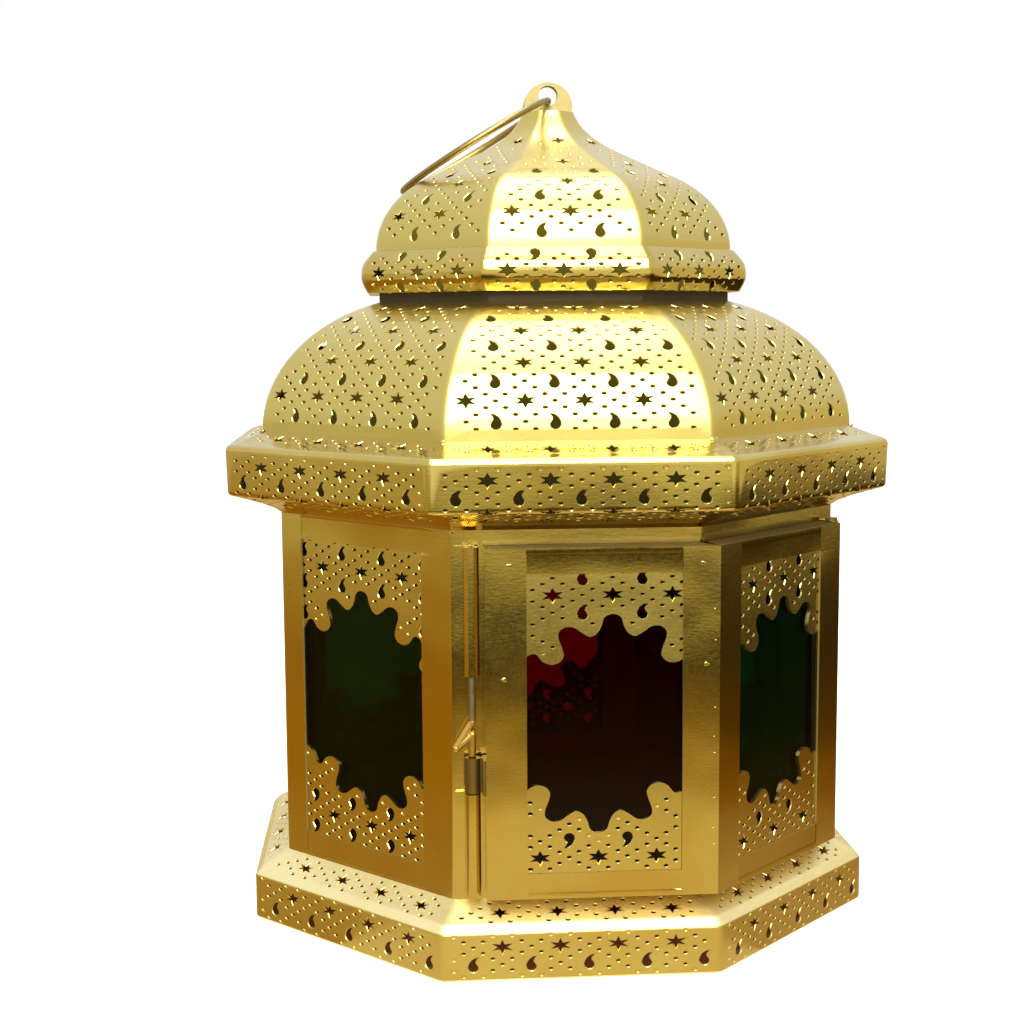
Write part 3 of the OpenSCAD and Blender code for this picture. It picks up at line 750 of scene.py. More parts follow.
class LANTERN_OT_gallery(Operator):
    """Roll the rounded gallery between the domes"""

    bl_idname = "lantern.gallery"
    bl_label = "Gallery"

    def execute(self, context):
        tall = GALLERY_TOP - GALLERY_FOOT
        profile = Profile(rounded_path([
            (NECK_A - 2, GALLERY_FOOT), (GALLERY_A - 2.0, GALLERY_FOOT, 0.8),
            (GALLERY_A, GALLERY_FOOT + 0.3 * tall, 6),
            (GALLERY_A - 0.3, GALLERY_FOOT + 0.66 * tall, 5),
            (ONION_A + 0.8, GALLERY_TOP, 1.0), (ONION_A - FLANGE, GALLERY_TOP),
        ]))
        star = profile.reaches(GALLERY_FOOT + 5.7)
        marks = punch_marks("comma_down", (-1.0, star), 9.8, rows=(-1, 1), columns=(-3, 4))
        keep = clear_of_folds(profile, [(star - 6.6, star + 6.2)], margin=1.6)
        gallery = folded_shell("gallery_sheet", profile, marks, keep)
        ride_in_place_of(gallery, "case", "brass_sheet", "gallery")
        return {"FINISHED"}


class LANTERN_OT_upper_dome(Operator):
    """Bend and join the eight gores of the onion-shaped upper dome"""

    bl_idname = "lantern.upper_dome"
    bl_label = "Upper dome"

    def execute(self, context):
        across = ONION_A - ONION_CORE
        rise = 26.5
        shoulder = 35.1
        spire_foot = Vector((20.3, ONION_FOOT + 30.8))
        spire_pull = Vector((10.2, ONION_FOOT + 36.1))
        spire_top = Vector((7.85, ONION_TOP))
        rim = (1.5, ONION_TOP)
        turn = math.acos((shoulder - ONION_CORE) / across)
        path = arc_path((ONION_CORE, ONION_FOOT), across, rise, turn, steps=14)
        profile = Profile(path + bend(spire_foot, spire_pull, spire_top, steps=8) + [rim])
        marks = punch_marks("comma", (1.6, 10.4), 11.3, rows=(-1, 5), columns=(-2, 3),
                            spread=0.95, pitch=16.6)
        keep = clear_of_folds(profile, [(3.0, profile.along[-2] - 8)], margin=1.7, widest=21)
        dome = folded_shell("upper_dome_sheet", profile, marks, keep, finish="dome lacquer")
        ride_in_place_of(dome, "case", "brass_sheet", "upper_dome")
        return {"FINISHED"}


# ---------------------------------------------------------------- pieces: windows

# Half of a scalloped edge: distance from its middle, depth below its crest, in mm
SCALLOPS = [
    (0, 0), (2.2, 0.9), (3, 3.2), (4.2, 5.2), (6.1, 6.1), (8.3, 5), (10.4, 3.6), (12.6, 3.4),
    (14.4, 4.6), (14.5, 6.6), (13.5, 9.3), (13.2, 11.4), (14.5, 13), (16.7, 13.5), (18.9, 12.6),
    (20.3, 10.9), (21.6, 10.5), (23.2, 11.4), (24.8, 14), (28, 16),
]
# How far a screen reaches behind the edges of its cut-out
SCREEN_LAP = 2.5
# Upper and lower punched strips of a window: the place of the middle star across the window,
# its height below or above the cut-out's edge, that of the scallop's crest, and the pitch;
# then the distance between the rows of stars
FIXED_STRIPS = ((0.2, 7.6, 13.0, 16.1), (2.7, 6.9, 11.0, 15.6))
DOOR_STRIPS = ((2.1, 5.8, 11.0, 16.1), (-1.7, 4.2, 11.0, 15.9))
STRIP_ROW = 9.3


def screen_edges(node, side=1):
    """Edges of a packed screen: left and right, lower and upper. side is -1 where X runs
    against the way the screen is seen from outside."""
    low, high = node_mm(node)
    return sorted((side * low.x, side * high.x)), (low.z, high.z)


def cut_out(edges):
    """Edges of the cut-out that a screen with those edges lies behind."""
    return edges[0] + SCREEN_LAP, edges[1] - SCREEN_LAP


FIXED_SPAN, FIXED_LEVELS = screen_edges("screen_back", -1)
DOOR_SPAN, DOOR_LEVELS = screen_edges("door_screen_front")
DOOR_SIDE_SPAN = sorted(-edge for edge in DOOR_SPAN)
# Each window's direction with the left and right edges of its cut-out
FIXED_WINDOWS = [(direction, cut_out(FIXED_SPAN)) for direction in FIXED_FACES.values()]
DOOR_WINDOWS = [(FRONT, cut_out(DOOR_SPAN)), (DOOR_SIDE, cut_out(DOOR_SIDE_SPAN))]


def smooth_half(points, steps=4):
    """Points of a smooth line through the given ones; it is symmetrical about the first."""
    points = [Vector(point) for point in points]
    line = []
    for i in range(len(points) - 1):
        before = Vector((-points[1].x, points[1].y)) if i == 0 else points[i - 1]
        start, end = points[i], points[i + 1]
        after = points[min(i + 2, len(points) - 1)]
        for j in range(steps):
            t = j / steps
            line.append(start + t * (end - before) / 2
                        + t * t * (before - 2.5 * start + 2 * end - after / 2)
                        + t ** 3 * (1.5 * start - 1.5 * end + (after - before) / 2))
    return line


def scalloped_window(half_width, top, bottom):
    """Closed outline of a window. top and bottom give the place of each middle scallop's
    crest, as (across, height)."""
    def quarter(crest, right, up):
        reach = half_width - right * crest[0]
        kept = [point for point in smooth_half(SCALLOPS) if point.x < reach]
        kept.append(Vector((reach, kept[-1].y)))
        return [(crest[0] + right * point.x, crest[1] - up * point.y) for point in kept]
    return (quarter(top, 1, 1)
            + quarter(bottom, 1, -1)[::-1]
            + quarter(bottom, -1, -1)[1:]
            + quarter(top, -1, 1)[::-1][:-1])


def inside(outline, x, y):
    """True where a ray from the point crosses the outline an odd number of times."""
    hit = False
    for i, (x1, y1) in enumerate(outline):
        x0, y0 = outline[i - 1]
        if (y0 > y) != (y1 > y) and x < x0 + (y - y0) * (x1 - x0) / (y1 - y0):
            hit = not hit
    return hit


def clear_of_window(window, x, y, reach):
    """True where a mark of that reach stays on the metal round the window."""
    if inside(window, x, y):
        return False
    nearest = min((Vector((x, y)) - Vector(point)).length for point in window)
    return nearest > reach


def punched_screen(node, direction, wall_a, span, strips):
    """The screen of one window, punched above and below its scalloped opening."""
    half, mid = (span[1] - span[0]) / 2, (span[0] + span[1]) / 2
    low, high = (corner.z for corner in node_mm(node))
    cut_low, cut_high = cut_out((low, high))
    (star_x, star_drop, crest_drop, pitch), (foot_x, foot_rise, crest_rise, foot_pitch) = strips
    window = scalloped_window(half - SCREEN_LAP, (star_x, cut_high - crest_drop),
                              (foot_x, cut_low + crest_rise))
    border = [(-half, low), (half, low), (half, high), (-half, high)]
    upper = punch_marks("comma", (star_x, cut_high - star_drop), STRIP_ROW, rows=(-3, 2),
                        columns=(-3, 3), pitch=pitch)
    lower = punch_marks("comma_down", (foot_x, cut_low + foot_rise), STRIP_ROW, rows=(-2, 3),
                        columns=(-3, 3), pitch=foot_pitch)
    middle = (low + high) / 2
    bridge = 0.4
    edge = 0.5
    faint_reach = 2.2
    holes, dents = [], []
    for punch, x, y in within(upper, middle, high) + within(lower, low, middle):
        reach = SCREEN_REACH[punch]
        if abs(x) > half - reach or not low + edge + reach < y < high - edge - reach:
            continue
        if not clear_of_window(window, x, y, reach + bridge):
            continue
        # the press fades towards the window: some dots are only dented
        faint = punch == "dot" and not clear_of_window(window, x, y, faint_reach)
        (dents if faint else holes).append((punch, x, y))
    blank = punched_blank(border, holes, [window], dents)
    turn = front_turn(direction).inverted()
    for vert in blank.verts:
        x, y, depth = vert.co
        vert.co = turn @ Vector((mid + x, -(wall_a + depth), y))
    piece = mesh_piece(f"{node}_sheet", blank)
    thicken(piece, "screen lacquer")
    return piece


class LANTERN_OT_screens(Operator):
    """Punch the scalloped screens of the six fixed windows and of the door"""

    bl_idname = "lantern.screens"
    bl_label = "Window screens"

    def execute(self, context):
        thickness = sheet_settings().thickness
        for face, direction in FIXED_FACES.items():
            node = f"screen_{face}"
            screen = punched_screen(node, direction, BODY_A - thickness, FIXED_SPAN, FIXED_STRIPS)
            ride_in_place_of(screen, "case", "screen_sheet", node)
        for node, direction, span in (("door_screen_front", FRONT, DOOR_SPAN),
                                      ("door_screen_side", DOOR_SIDE, DOOR_SIDE_SPAN)):
            screen = punched_screen(node, direction, DOOR_A - thickness, span, DOOR_STRIPS)
            ride_in_place_of(screen, "door", "screen_sheet", node)
        return {"FINISHED"}


def finish_nodes(by_slot, by_node=None):
    """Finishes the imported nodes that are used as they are, by their slot or their own name."""
    for part in frame["record"]["subparts"]:
        name = (by_node or {}).get(part["node"], by_slot.get(part["material_slot"]))
        if name:
            finish_with(frame["nodes"][part["node"]], name)


class LANTERN_OT_glass(Operator):
    """Glaze the windows, green and ruby in turn"""

    bl_idname = "lantern.glass"
    bl_label = "Glass"

    def execute(self, context):
        finish_nodes({"green_glass": "bottle green glass", "red_glass": "ruby glass"})
        return {"FINISHED"}


# ---------------------------------------------------------------- pieces: body, door, fittings

# A flat face's own sheet lies within this many millimetres behind it
SHEET_ZONE = 1.5
# Slack in comparing two places, and the least length of a fold, in millimetres
SLACK = 0.01
SHORTEST_FOLD = 3


def eased_copy(node, name, fold_test, fold_mm):
    """A copy of a packed sheet-metal node whose cut edges are eased and whose folds, as
    fold_test picks them by their edge, take fold_mm from each face."""
    edge_mm = 0.08
    mesh = mesh_in_mm(frame["nodes"][node].data)
    bmesh.ops.remove_doubles(mesh, verts=mesh.verts, dist=1e-3)
    bmesh.ops.dissolve_limit(mesh, angle_limit=math.radians(1), verts=mesh.verts, edges=mesh.edges)
    folds = [edge for edge in mesh.edges if len(edge.link_faces) == 2
             and edge.calc_face_angle(0) > math.radians(20) and fold_test(edge)]
    bmesh.ops.bevel(mesh, geom=folds, offset=fold_mm, segments=3, profile=0.5, affect="EDGES",
                    clamp_overlap=True)
    piece = mesh_piece(name, mesh)
    ease = piece.modifiers.new("eased edges", "BEVEL")
    ease.width = edge_mm * MM
    ease.segments = 2
    ease.limit_method = "ANGLE"
    ease.angle_limit = math.radians(35)
    apply_all(piece)
    soften(piece)
    return piece


def upright_fold(edge):
    """True for a long upright edge."""
    start, end = (vert.co for vert in edge.verts)
    return abs(start.z - end.z) > SHORTEST_FOLD and (start - end).xy.length < SLACK


def sink_panel(mesh, direction, wall_a, across, up, slopes):
    """Sets a rectangle of a flat face back, so that the strips beside it lie proud of it.
    slopes are the widths of its left, right, lower and upper borders."""
    depth = 0.22
    left, right, lower, upper = slopes
    turn = front_turn(direction)
    bmesh.ops.rotate(mesh, cent=(0, 0, 0), matrix=turn, verts=mesh.verts)
    sides = ((Vector((1, 0, 0)), across, left, right), (Vector((0, 0, 1)), up, lower, upper))
    for axis, (start, end), first, last in sides:
        for level in (start, start + first, end - last, end):
            faces = [face for face in mesh.faces
                     if all(vert.co.y < SHEET_ZONE - wall_a for vert in face.verts)]
            edges = {edge for face in faces for edge in face.edges}
            verts = {vert for face in faces for vert in face.verts}
            bmesh.ops.bisect_plane(mesh, geom=[*verts, *edges, *faces], dist=1e-4,
                                   plane_co=axis * level, plane_no=axis)
    for vert in mesh.verts:
        x, y, z = vert.co
        inner = (across[0] + left / 2 < x < across[1] - right / 2
                 and up[0] + lower / 2 < z < up[1] - upper / 2)
        if inner and abs(y + wall_a) < 0.3:
            vert.co.y += depth
    bmesh.ops.rotate(mesh, cent=(0, 0, 0), matrix=turn.inverted(), verts=mesh.verts)


def sink_strips(mesh, direction, wall_a, across, ends, levels, right=0.25):
    """Sets back the strips below and above a window, from each end of the face to just past
    the window's edge, so that the upright strips beside the window look lapped over them."""
    past = 0.5
    left = end = 0.25
    rim = 0.2
    sink_panel(mesh, direction, wall_a, across, (ends[0], levels[0] + past),
               (left, right, end, rim))
    sink_panel(mesh, direction, wall_a, across, (levels[1] - past, ends[1]),
               (left, right, rim, end))


def join_rings(mesh, rings):
    """Faces between closed rings of vertices, each ring and the next."""
    for low, high in zip(rings, rings[1:]):
        for i in range(len(low)):
            mesh.faces.new((low[i - 1], low[i], high[i], high[i - 1]))


def add_weld(mesh, place, outward, radius, height):
    """A small lump of metal, where a spot of solder holds two sheets. Its outline is uneven and
    wider than it is high."""
    outward = Vector(outward).normalized()
    across = Vector((0, 0, 1)).cross(outward).normalized()
    upward = outward.cross(across)
    rings = []
    for share, rise in ((1, -0.05), (0.8, 0.5 * height), (0.4, 0.9 * height)):
        ring = []
        for i in range(8):
            angle = math.tau * i / 8
            reach = radius * share * (1 + 0.25 * math.sin(3 * angle + place[0]))
            along = reach * (math.cos(angle) * across + 0.7 * math.sin(angle) * upward)
            ring.append(mesh.verts.new(Vector(place) + along + rise * outward))
        rings.append(ring)
    join_rings(mesh, rings)
    mesh.faces.new(rings[-1])


def cut_edges(direction, across, up):
    """Says which faces are the sheared edges of a window in one side of the lantern."""
    turn = front_turn(direction)
    near = 0.2

    def is_cut(centre, normal):
        spot, way = turn @ centre, turn @ normal
        beside = across[0] - near < spot.x < across[1] + near
        level = up[0] - near < spot.z < up[1] + near
        return beside and level and spot.y < SHEET_ZONE - BODY_A and abs(way.y) < 0.5
    return is_cut


def looks_up(_centre, normal):
    """True for a level face that is turned up."""
    return normal.z > 0.98


def lacquer_outside(piece, windows, levels):
    """Lacquers a piece, but for its inner faces and the sheared edges of its windows."""
    finish_with(piece, "case lacquer", "raw sheet")
    raw_backs(piece, looks_inwards)
    for direction, across in windows:
        raw_backs(piece, cut_edges(direction, across, levels))


def reshape(piece, change):
    """Lets change work on a piece's mesh in millimetres."""
    mesh = mesh_in_mm(piece.data)
    change(mesh)
    write_in_metres(mesh, piece.data)
    soften(piece)


def body_corner(edge):
    """True for one of the eight upright folds on the outside of the body."""
    spot = (edge.verts[0].co + edge.verts[1].co) / 2
    return upright_fold(edge) and spot.xy.length > BODY_A / math.cos(HALF_TURN) - 0.2


def body_laps(mesh):
    """Sinks the body's strips below and above its fixed windows."""
    lap = 5
    ends = (BODY_FOOT + 0.6, BODY_TOP - 0.6)
    for direction, (left, right) in FIXED_WINDOWS:
        sink_strips(mesh, direction, BODY_A, (left, right + lap), ends, cut_out(FIXED_LEVELS),
                    right=4)


def face_distance(point):
    """Distance of a point from the axis, measured square to the nearer half of the door."""
    front = -point.y
    side = (point.x - point.y) / math.sqrt(2)
    return max(front, side)


def door_fold(edge):
    """True for the door's bend and for a fold between one of its faces and a flange."""
    start, end = (vert.co for vert in edge.verts)
    outer = all(face_distance(point) > DOOR_A - 2 * SLACK for point in (start, end))
    on_rim = all(min(abs(point.z - DOOR_FOOT), abs(point.z - DOOR_TOP)) < SLACK
                 for point in (start, end))
    level = abs(start.z - end.z) < SLACK
    long_enough = (start - end).length > SHORTEST_FOLD
    return outer and on_rim and long_enough and (level or upright_fold(edge))


def door_laps(mesh):
    """Sinks the door's strips below and above its windows, and adds its spot welds: large ones
    at the corners of the front window and a row of small ones beside the bend."""
    ends = (DOOR_FOOT + 1.6, DOOR_TOP - 1.6)
    for direction, across in DOOR_WINDOWS:
        sink_strips(mesh, direction, DOOR_A, across, ends, cut_out(DOOR_LEVELS))
    forwards = (0, -1, 0)
    large = ((-19.2, 113.5), (32.9, 113.4), (-20.7, 82.8), (33.9, 86))
    small = (101, 92.5, 74, 66, 61.5, 49, 40.5, 36)
    row_x = DOOR_A * HALF_SIDE - 1.4
    for x, z in large:
        add_weld(mesh, (x, -DOOR_A, z), forwards, radius=0.9, height=0.07)
    for z in small:
        add_weld(mesh, (row_x - 0.2 * math.sin(z), -DOOR_A, z), forwards, radius=0.35,
                 height=0.1)


class LANTERN_OT_body(Operator):
    """Ease the folds of the body and of the door's frame"""

    bl_idname = "lantern.body"
    bl_label = "Body and door frame"

    def execute(self, context):
        body = eased_copy("body_shell", "body_sheet", body_corner, fold_mm=0.9)
        reshape(body, body_laps)
        lacquer_outside(body, FIXED_WINDOWS, cut_out(FIXED_LEVELS))
        ride_in_place_of(body, "case", "brass_sheet", "body_shell")
        door = eased_copy("door_frame", "door_frame_sheet", door_fold, fold_mm=1.3)
        reshape(door, door_laps)
        lacquer_outside(door, DOOR_WINDOWS, cut_out(DOOR_LEVELS))
        raw_backs(door, looks_up)
        ride_in_place_of(door, "door", "brass_sheet", "door_frame")
        return {"FINISHED"}


class LANTERN_OT_fittings(Operator):
    """Finish the hinge, latch, bolt, ring, finial, cup and clips"""

    bl_idname = "lantern.fittings"
    bl_label = "Fittings"

    def execute(self, context):
        # the gallery's neck takes a dark finish that paints the shade under the gallery
        finish_nodes({"brass_sheet": "case lacquer", "screen_sheet": "screen lacquer",
                      "bright_wire": "brassed wire", "tin_plate": "tin plate"},
                     {"floor_plate": "raw sheet", "gallery_neck": "neck in painted shade",
                      "finial": "cast brass", "latch_bolt": "steel wire",
                      "latch_keeper": "darker brass"})
        return {"FINISHED"}


# ---------------------------------------------------------------- stage

WHITE = (1, 1, 1, 1)


class LANTERN_OT_stage(Operator):
    """Set the floor with its painted shade under the plinth, the table, the painted shade lining the
    domes, the lamps, the walls and the camera
    """

    bl_idname = "lantern.stage"
    bl_label = "Stage"

    def execute(self, context):
        add_floor()
        add_cards()
        add_lining()
        settings = context.scene.lantern_stage
        add_area("front softbox", size=(0.9, 1.35), place=(-0.05, -1.22, 1.09),
                 power=settings.front)
        add_area("overhead softbox", size=(0.6, 1.1), place=(0, 0.1, 1.55),
                 power=settings.overhead)
        add_world()
        add_camera()
        return {"FINISHED"}


def see_white(tree, seen, hidden):
    """Mixes two shaders: the first is what camera, mirror and glass see, the second lights."""
    path = add_node(tree, "ShaderNodeLightPath")
    either = add_node(tree, "ShaderNodeMath", {"operation": "MAXIMUM"},
                      _0=path.outputs["Is Camera Ray"], _1=path.outputs["Is Glossy Ray"])
    any_of = add_node(tree, "ShaderNodeMath", {"operation": "MAXIMUM"},
                      _0=either.outputs[0], _1=path.outputs["Is Transmission Ray"])
    return add_node(tree, "ShaderNodeMixShader", Fac=any_of.outputs[0], _1=hidden, _2=seen)


def stage_piece(piece, finish, *hidden_from):
    """Finishes a piece of the stage and hides it from those kinds of ray."""
    finish_with(piece, finish)
    for ray in hidden_from:
        setattr(piece, f"visible_{ray}", False)


def add_floor():
    """White paper; under the closed plinth it is brown and without the paper's glow, a painted shade.
    """
    bpy.ops.object.select_all(action="DESELECT")
    bpy.ops.mesh.primitive_plane_add(size=6, location=(0, 0, 0))
    floor = bpy.context.object
    floor.name = "floor"
    tree, shader, place = new_material("paper floor")
    edge = PLINTH_A * MM
    # distance from the axis, measured square to the nearest of the octagon's sides
    size = add_node(tree, "ShaderNodeVectorMath", {"operation": "ABSOLUTE"}, _0=place)
    sides = add_node(tree, "ShaderNodeSeparateXYZ", Vector=size.outputs["Vector"])
    slant = add_node(tree, "ShaderNodeVectorMath", {"operation": "DOT_PRODUCT"},
                     _0=size.outputs["Vector"], _1=(math.sqrt(0.5), math.sqrt(0.5), 0))
    across = add_node(tree, "ShaderNodeMath", {"operation": "MAXIMUM"},
                      _0=sides.outputs["X"], _1=sides.outputs["Y"])
    reach = add_node(tree, "ShaderNodeMath", {"operation": "MAXIMUM"},
                     _0=across.outputs[0], _1=slant.outputs["Value"])
    # 1 on the paper and 0 under the plinth, where a brown colour and no glow paint its shade
    outside_painted_shade = add_node(tree, "ShaderNodeMapRange", Value=reach.outputs[0],
                     From_Min=0.97 * edge, From_Max=edge)
    colour = add_node(tree, "ShaderNodeMix", {"data_type": "RGBA"}, _0=outside_painted_shade.outputs["Result"],
                      _6=srgb("#8A4E1C"), _7=srgb("#F2F1EE"))
    set_inputs(tree, shader, Base_Color=colour.outputs[2], Roughness=0.9)
    # a glow as well as the lamps' light makes the paper as white as the walls; under the plinth it is
    # left out, which paints the shade there
    strength = add_node(tree, "ShaderNodeMath", {"operation": "MULTIPLY"},
                        _0=outside_painted_shade.outputs["Result"], _1=0.62)
    glow = add_node(tree, "ShaderNodeEmission", Color=WHITE, Strength=strength.outputs[0])
    lit = add_node(tree, "ShaderNodeAddShader", _0=shader.outputs["BSDF"], _1=glow.outputs[0])
    mix = see_white(tree, lit.outputs[0], shader.outputs["BSDF"])
    set_inputs(tree, tree.nodes["Material Output"], Surface=mix.outputs[0])
    stage_piece(floor, "paper floor")


def light_only(name):
    """A finish that sends out light of a colour, linked by the caller, and reflects none."""
    tree, shader, place = new_material(name)
    set_inputs(tree, shader, Base_Color=(0, 0, 0, 1), Specular_IOR_Level=0.0,
               Emission_Strength=1.0)
    return tree, shader, place


def add_card(name, direction, half_turn, top, shades):
    """A card on the table that only shows in the polished metal: a sector round the lantern,
    bent up to the height top at its far edge. shades is (metres, colour) pairs."""
    steps = 8
    clear = 0.0006
    turns = [math.radians(direction + half_turn * (2 * i / steps - 1)) for i in range(steps + 1)]
    near, far = shades[0][0], shades[-1][0]
    rings = [(near, clear), (far, clear), (far, top)]
    verts = [(reach * math.cos(turn), reach * math.sin(turn), height)
             for reach, height in rings for turn in turns]
    width = steps + 1
    faces = []
    for ring in range(len(rings) - 1):
        for first in range(ring * width, ring * width + steps):
            faces.append((first, first + 1, first + width + 1, first + width))
    data = bpy.data.meshes.new(name)
    data.from_pydata(verts, [], faces)
    card = bpy.data.objects.new(name, data)
    bpy.context.collection.objects.link(card)
    tree, shader, place = light_only(name)
    flat = add_node(tree, "ShaderNodeVectorMath", {"operation": "MULTIPLY"}, _0=place, _1=(1, 1, 0))
    reach = add_node(tree, "ShaderNodeVectorMath", {"operation": "LENGTH"}, _0=flat.outputs[0])
    share = add_node(tree, "ShaderNodeMapRange", Value=reach.outputs["Value"],
                     From_Min=near, From_Max=far)
    colour = add_node(tree, "ShaderNodeValToRGB", Fac=share.outputs["Result"])
    ramp = colour.color_ramp
    ramp.elements[0].color = srgb(shades[0][1])
    ramp.elements[1].color = srgb(shades[-1][1])
    for distance, code in shades[1:-1]:
        ramp.elements.new((distance - near) / (far - near)).color = srgb(code)
    set_inputs(tree, shader, Emission_Color=colour.outputs["Color"])
    stage_piece(card, name, "camera", "diffuse", "transmission", "shadow")


def add_cards():
    """A varnished table round the lantern: lit near it, shaded farther off, the room beyond."""
    add_card("front table", direction=-96, half_turn=40, top=0.25, shades=(
        (0.06, "#EFDCB0"), (0.13, "#F0DAB0"), (0.22, "#F0D698"), (0.32, "#A08240"),
        (0.46, "#40300E"), (0.58, "#1C1408"), (0.7, "#241B0C"), (0.8, "#B0A068"),
        (1.1, "#DCD09C"), (1.4, "#FFF8DC"), (2.0, "#FFFAE4")))
    add_card("left table", direction=-178, half_turn=42, top=0.26, shades=(
        (0.06, "#B8924C"), (0.13, "#B8924C"), (0.25, "#AE7E18"), (0.5, "#A67A2A"),
        (0.8, "#BCA054"), (1.4, "#D4CCA6")))
    add_card("right table", direction=-14, half_turn=42, top=0.4, shades=(
        (0.06, "#C4A67C"), (0.13, "#BC9A62"), (0.2, "#906214"), (0.3, "#54380A"),
        (0.5, "#32260F"), (1.0, "#483818"), (1.4, "#E4D29A")))
    add_card("back table", direction=84, half_turn=56, top=0.17, shades=(
        (0.06, "#E6CB98"), (0.3, "#C9A562"), (1.4, "#B8A678")))


def add_area(name, size, place, power):
    """A rectangular softbox that faces the lantern."""
    lantern = Vector((0, 0, 0.2))
    data = bpy.data.lights.new(name, "AREA")
    data.shape = "RECTANGLE"
    data.size, data.size_y = size
    data.energy = power
    lamp = bpy.data.objects.new(name, data)
    lamp.location = place
    lamp.rotation_euler = (lantern - Vector(place)).to_track_quat("-Z", "Y").to_euler()
    bpy.context.collection.objects.link(lamp)


def add_lining():
    """Painted shade inside the domes: a lining that glows olive, dark at the foot and lighter towards
    the top, so that no daylight shows through two holes in a row.
    """
    inset = 5
    steepest = math.radians(75)
    dome_across = DOME_A - DOME_CORE - inset
    onion_across = ONION_A - ONION_CORE - inset
    outline = [
        (BODY_A - inset, BODY_TOP + 1), (CORNICE_A - inset, BODY_TOP + 12),
        (CORNICE_A - inset, DOME_FOOT - 6),
        *arc_path((DOME_CORE, DOME_FOOT), dome_across, DOME_TOP - DOME_FOOT - inset, steepest, 5),
        (NECK_A - inset, DOME_TOP), (NECK_A - inset, GALLERY_FOOT + 4),
        (GALLERY_A - inset - 2, GALLERY_FOOT + 6), (ONION_A - inset, GALLERY_TOP),
        *arc_path((ONION_CORE, ONION_FOOT), onion_across, 24, steepest, 5),
        (4, ONION_TOP - 6),
    ]
    turns = [HALF_TURN * (2 * i + 1) for i in range(FACES)]
    mesh = bmesh.new()
    rings = []
    for reach, height in outline:
        corner = reach / math.cos(HALF_TURN)
        rings.append([mesh.verts.new((corner * math.cos(turn), corner * math.sin(turn), height))
                      for turn in turns])
    join_rings(mesh, rings)
    lining = mesh_piece("painted shade lining", mesh)
    tree, shader, place = light_only("painted dome shade")
    # painted shade at the foot, growing to a painted glow near the top
    height = add_node(tree, "ShaderNodeSeparateXYZ", Vector=place)
    painted_glow_by_height = add_node(tree, "ShaderNodeMapRange", Value=height.outputs["Z"],
                    From_Min=BODY_TOP * MM, From_Max=ONION_TOP * MM)
    colour = add_node(tree, "ShaderNodeMix", {"data_type": "RGBA"}, _0=painted_glow_by_height.outputs["Result"],
                      _6=srgb("#1C1608"), _7=srgb("#7E7028"))
    set_inputs(tree, shader, Emission_Color=colour.outputs[2])
    stage_piece(lining, "painted dome shade", "diffuse", "glossy", "transmission", "shadow")


def add_world():
    """White walls as the camera sees them, dimmer ones that light, and those that the metal
    mirrors."""
    world = bpy.data.worlds.new("studio")
    bpy.context.scene.world = world
    world.use_nodes = True
    tree = world.node_tree
    backdrop = tree.nodes["Background"]
    set_inputs(tree, backdrop, Color=WHITE, Strength=1.0)
    room = add_node(tree, "ShaderNodeBackground", Color=WHITE, Strength=0.5)
    seen = see_white(tree, backdrop.outputs[0], room.outputs[0])
    mirrored_walls = add_node(tree, "ShaderNodeBackground", Color=(1, 1, 0.97, 1), Strength=0.84)
    path = add_node(tree, "ShaderNodeLightPath")
    mix = add_node(tree, "ShaderNodeMixShader", Fac=path.outputs["Is Glossy Ray"],
                   _1=seen.outputs[0], _2=mirrored_walls.outputs[0])
    set_inputs(tree, tree.nodes["World Output"], Surface=mix.outputs[0])


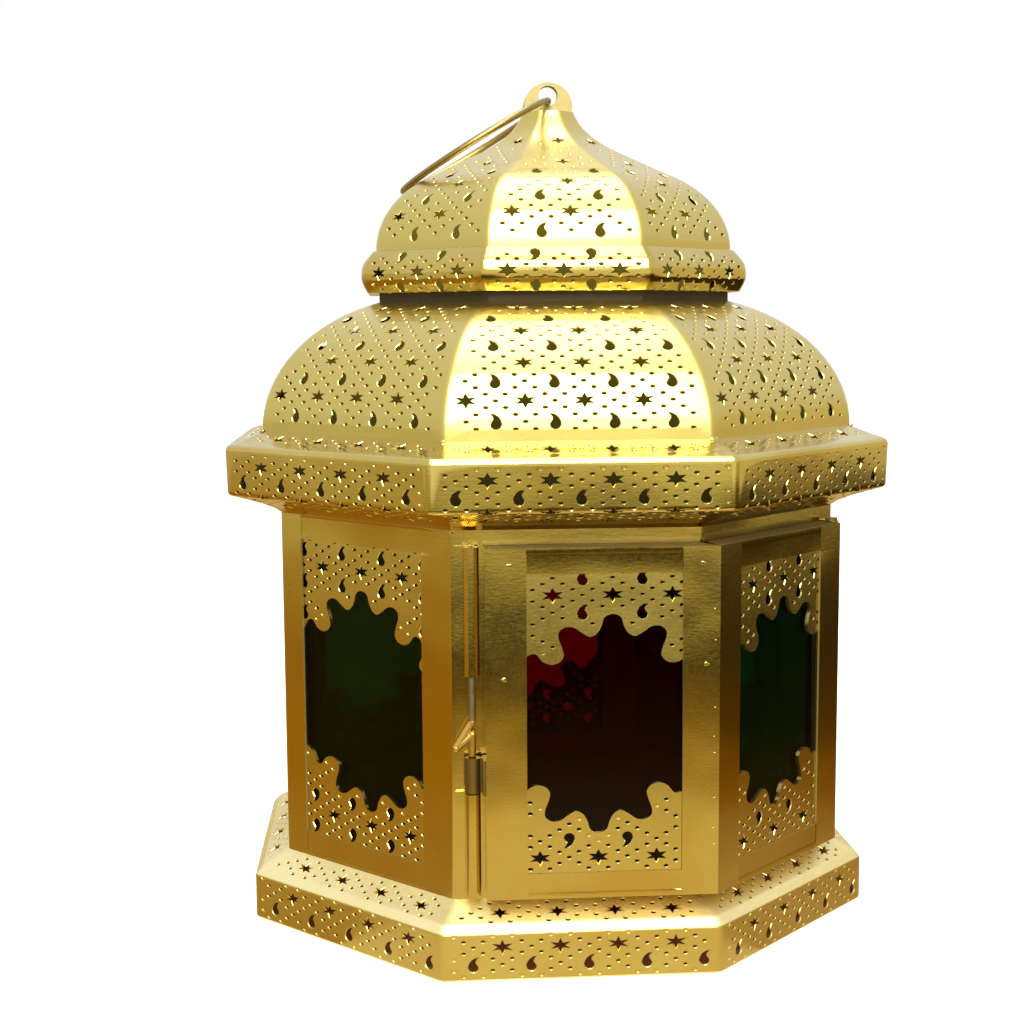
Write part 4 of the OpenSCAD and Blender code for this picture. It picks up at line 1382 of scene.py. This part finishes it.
def add_camera():
    """The camera stands half a metre in front of the lantern and looks a little down."""
    x, y, z = -0.0484, -0.5142, 0.1776
    yaw, pitch, roll = -0.071, 0.1167, -0.0061
    data = bpy.data.cameras.new("camera")
    data.sensor_width = 36
    data.lens = 57.1
    data.clip_start = 0.01
    camera = bpy.data.objects.new("camera", data)
    ahead = Vector((-math.sin(yaw) * math.cos(pitch), math.cos(yaw) * math.cos(pitch),
                    -math.sin(pitch)))
    level = Vector((math.cos(yaw), math.sin(yaw), 0))
    above = level.cross(ahead)
    right = math.cos(roll) * level + math.sin(roll) * above
    up = -math.sin(roll) * level + math.cos(roll) * above
    camera.matrix_world = Matrix((
        (right.x, up.x, -ahead.x, x),
        (right.y, up.y, -ahead.y, y),
        (right.z, up.z, -ahead.z, z),
        (0, 0, 0, 1)))
    bpy.context.collection.objects.link(camera)
    bpy.context.scene.camera = camera


# ---------------------------------------------------------------- panel and running

class LANTERN_PT_sidebar(Panel):
    """Buttons for each piece of the lantern"""

    bl_label = "Candle Lantern"
    bl_idname = "LANTERN_PT_sidebar"
    bl_space_type = "VIEW_3D"
    bl_region_type = "UI"
    bl_category = "Lantern"

    def draw(self, context):
        column = self.layout.column()
        for settings in (context.scene.lantern_sheet, context.scene.lantern_stage,
                         context.scene.lantern_colours):
            for name in settings.__annotations__:
                column.prop(settings, name)
        for operator in OPERATORS:
            column.operator(operator.bl_idname)


OPERATORS = (
    LANTERN_OT_fittings, LANTERN_OT_glass, LANTERN_OT_plinth, LANTERN_OT_body,
    LANTERN_OT_screens, LANTERN_OT_cornice, LANTERN_OT_large_dome, LANTERN_OT_gallery,
    LANTERN_OT_upper_dome, LANTERN_OT_stage,
)
SETTINGS = {"lantern_sheet": LanternSheet, "lantern_stage": LanternStage,
            "lantern_colours": LanternColours}


def register():
    for name, group in SETTINGS.items():
        bpy.utils.register_class(group)
        setattr(bpy.types.Scene, name, PointerProperty(type=group))
    for piece in (*OPERATORS, LANTERN_PT_sidebar):
        bpy.utils.register_class(piece)


def unregister():
    for piece in (LANTERN_PT_sidebar, *reversed(OPERATORS)):
        bpy.utils.unregister_class(piece)
    for name, group in SETTINGS.items():
        delattr(bpy.types.Scene, name)
        bpy.utils.unregister_class(group)


def main():
    register()
    bpy.context.scene.view_settings.view_transform = "Standard"
    bpy.ops.lantern.fittings()
    bpy.ops.lantern.glass()
    bpy.ops.lantern.plinth()
    bpy.ops.lantern.body()
    bpy.ops.lantern.screens()
    bpy.ops.lantern.cornice()
    bpy.ops.lantern.large_dome()
    bpy.ops.lantern.gallery()
    bpy.ops.lantern.upper_dome()
    bpy.ops.lantern.stage()


if __name__ == "__main__":
    main()
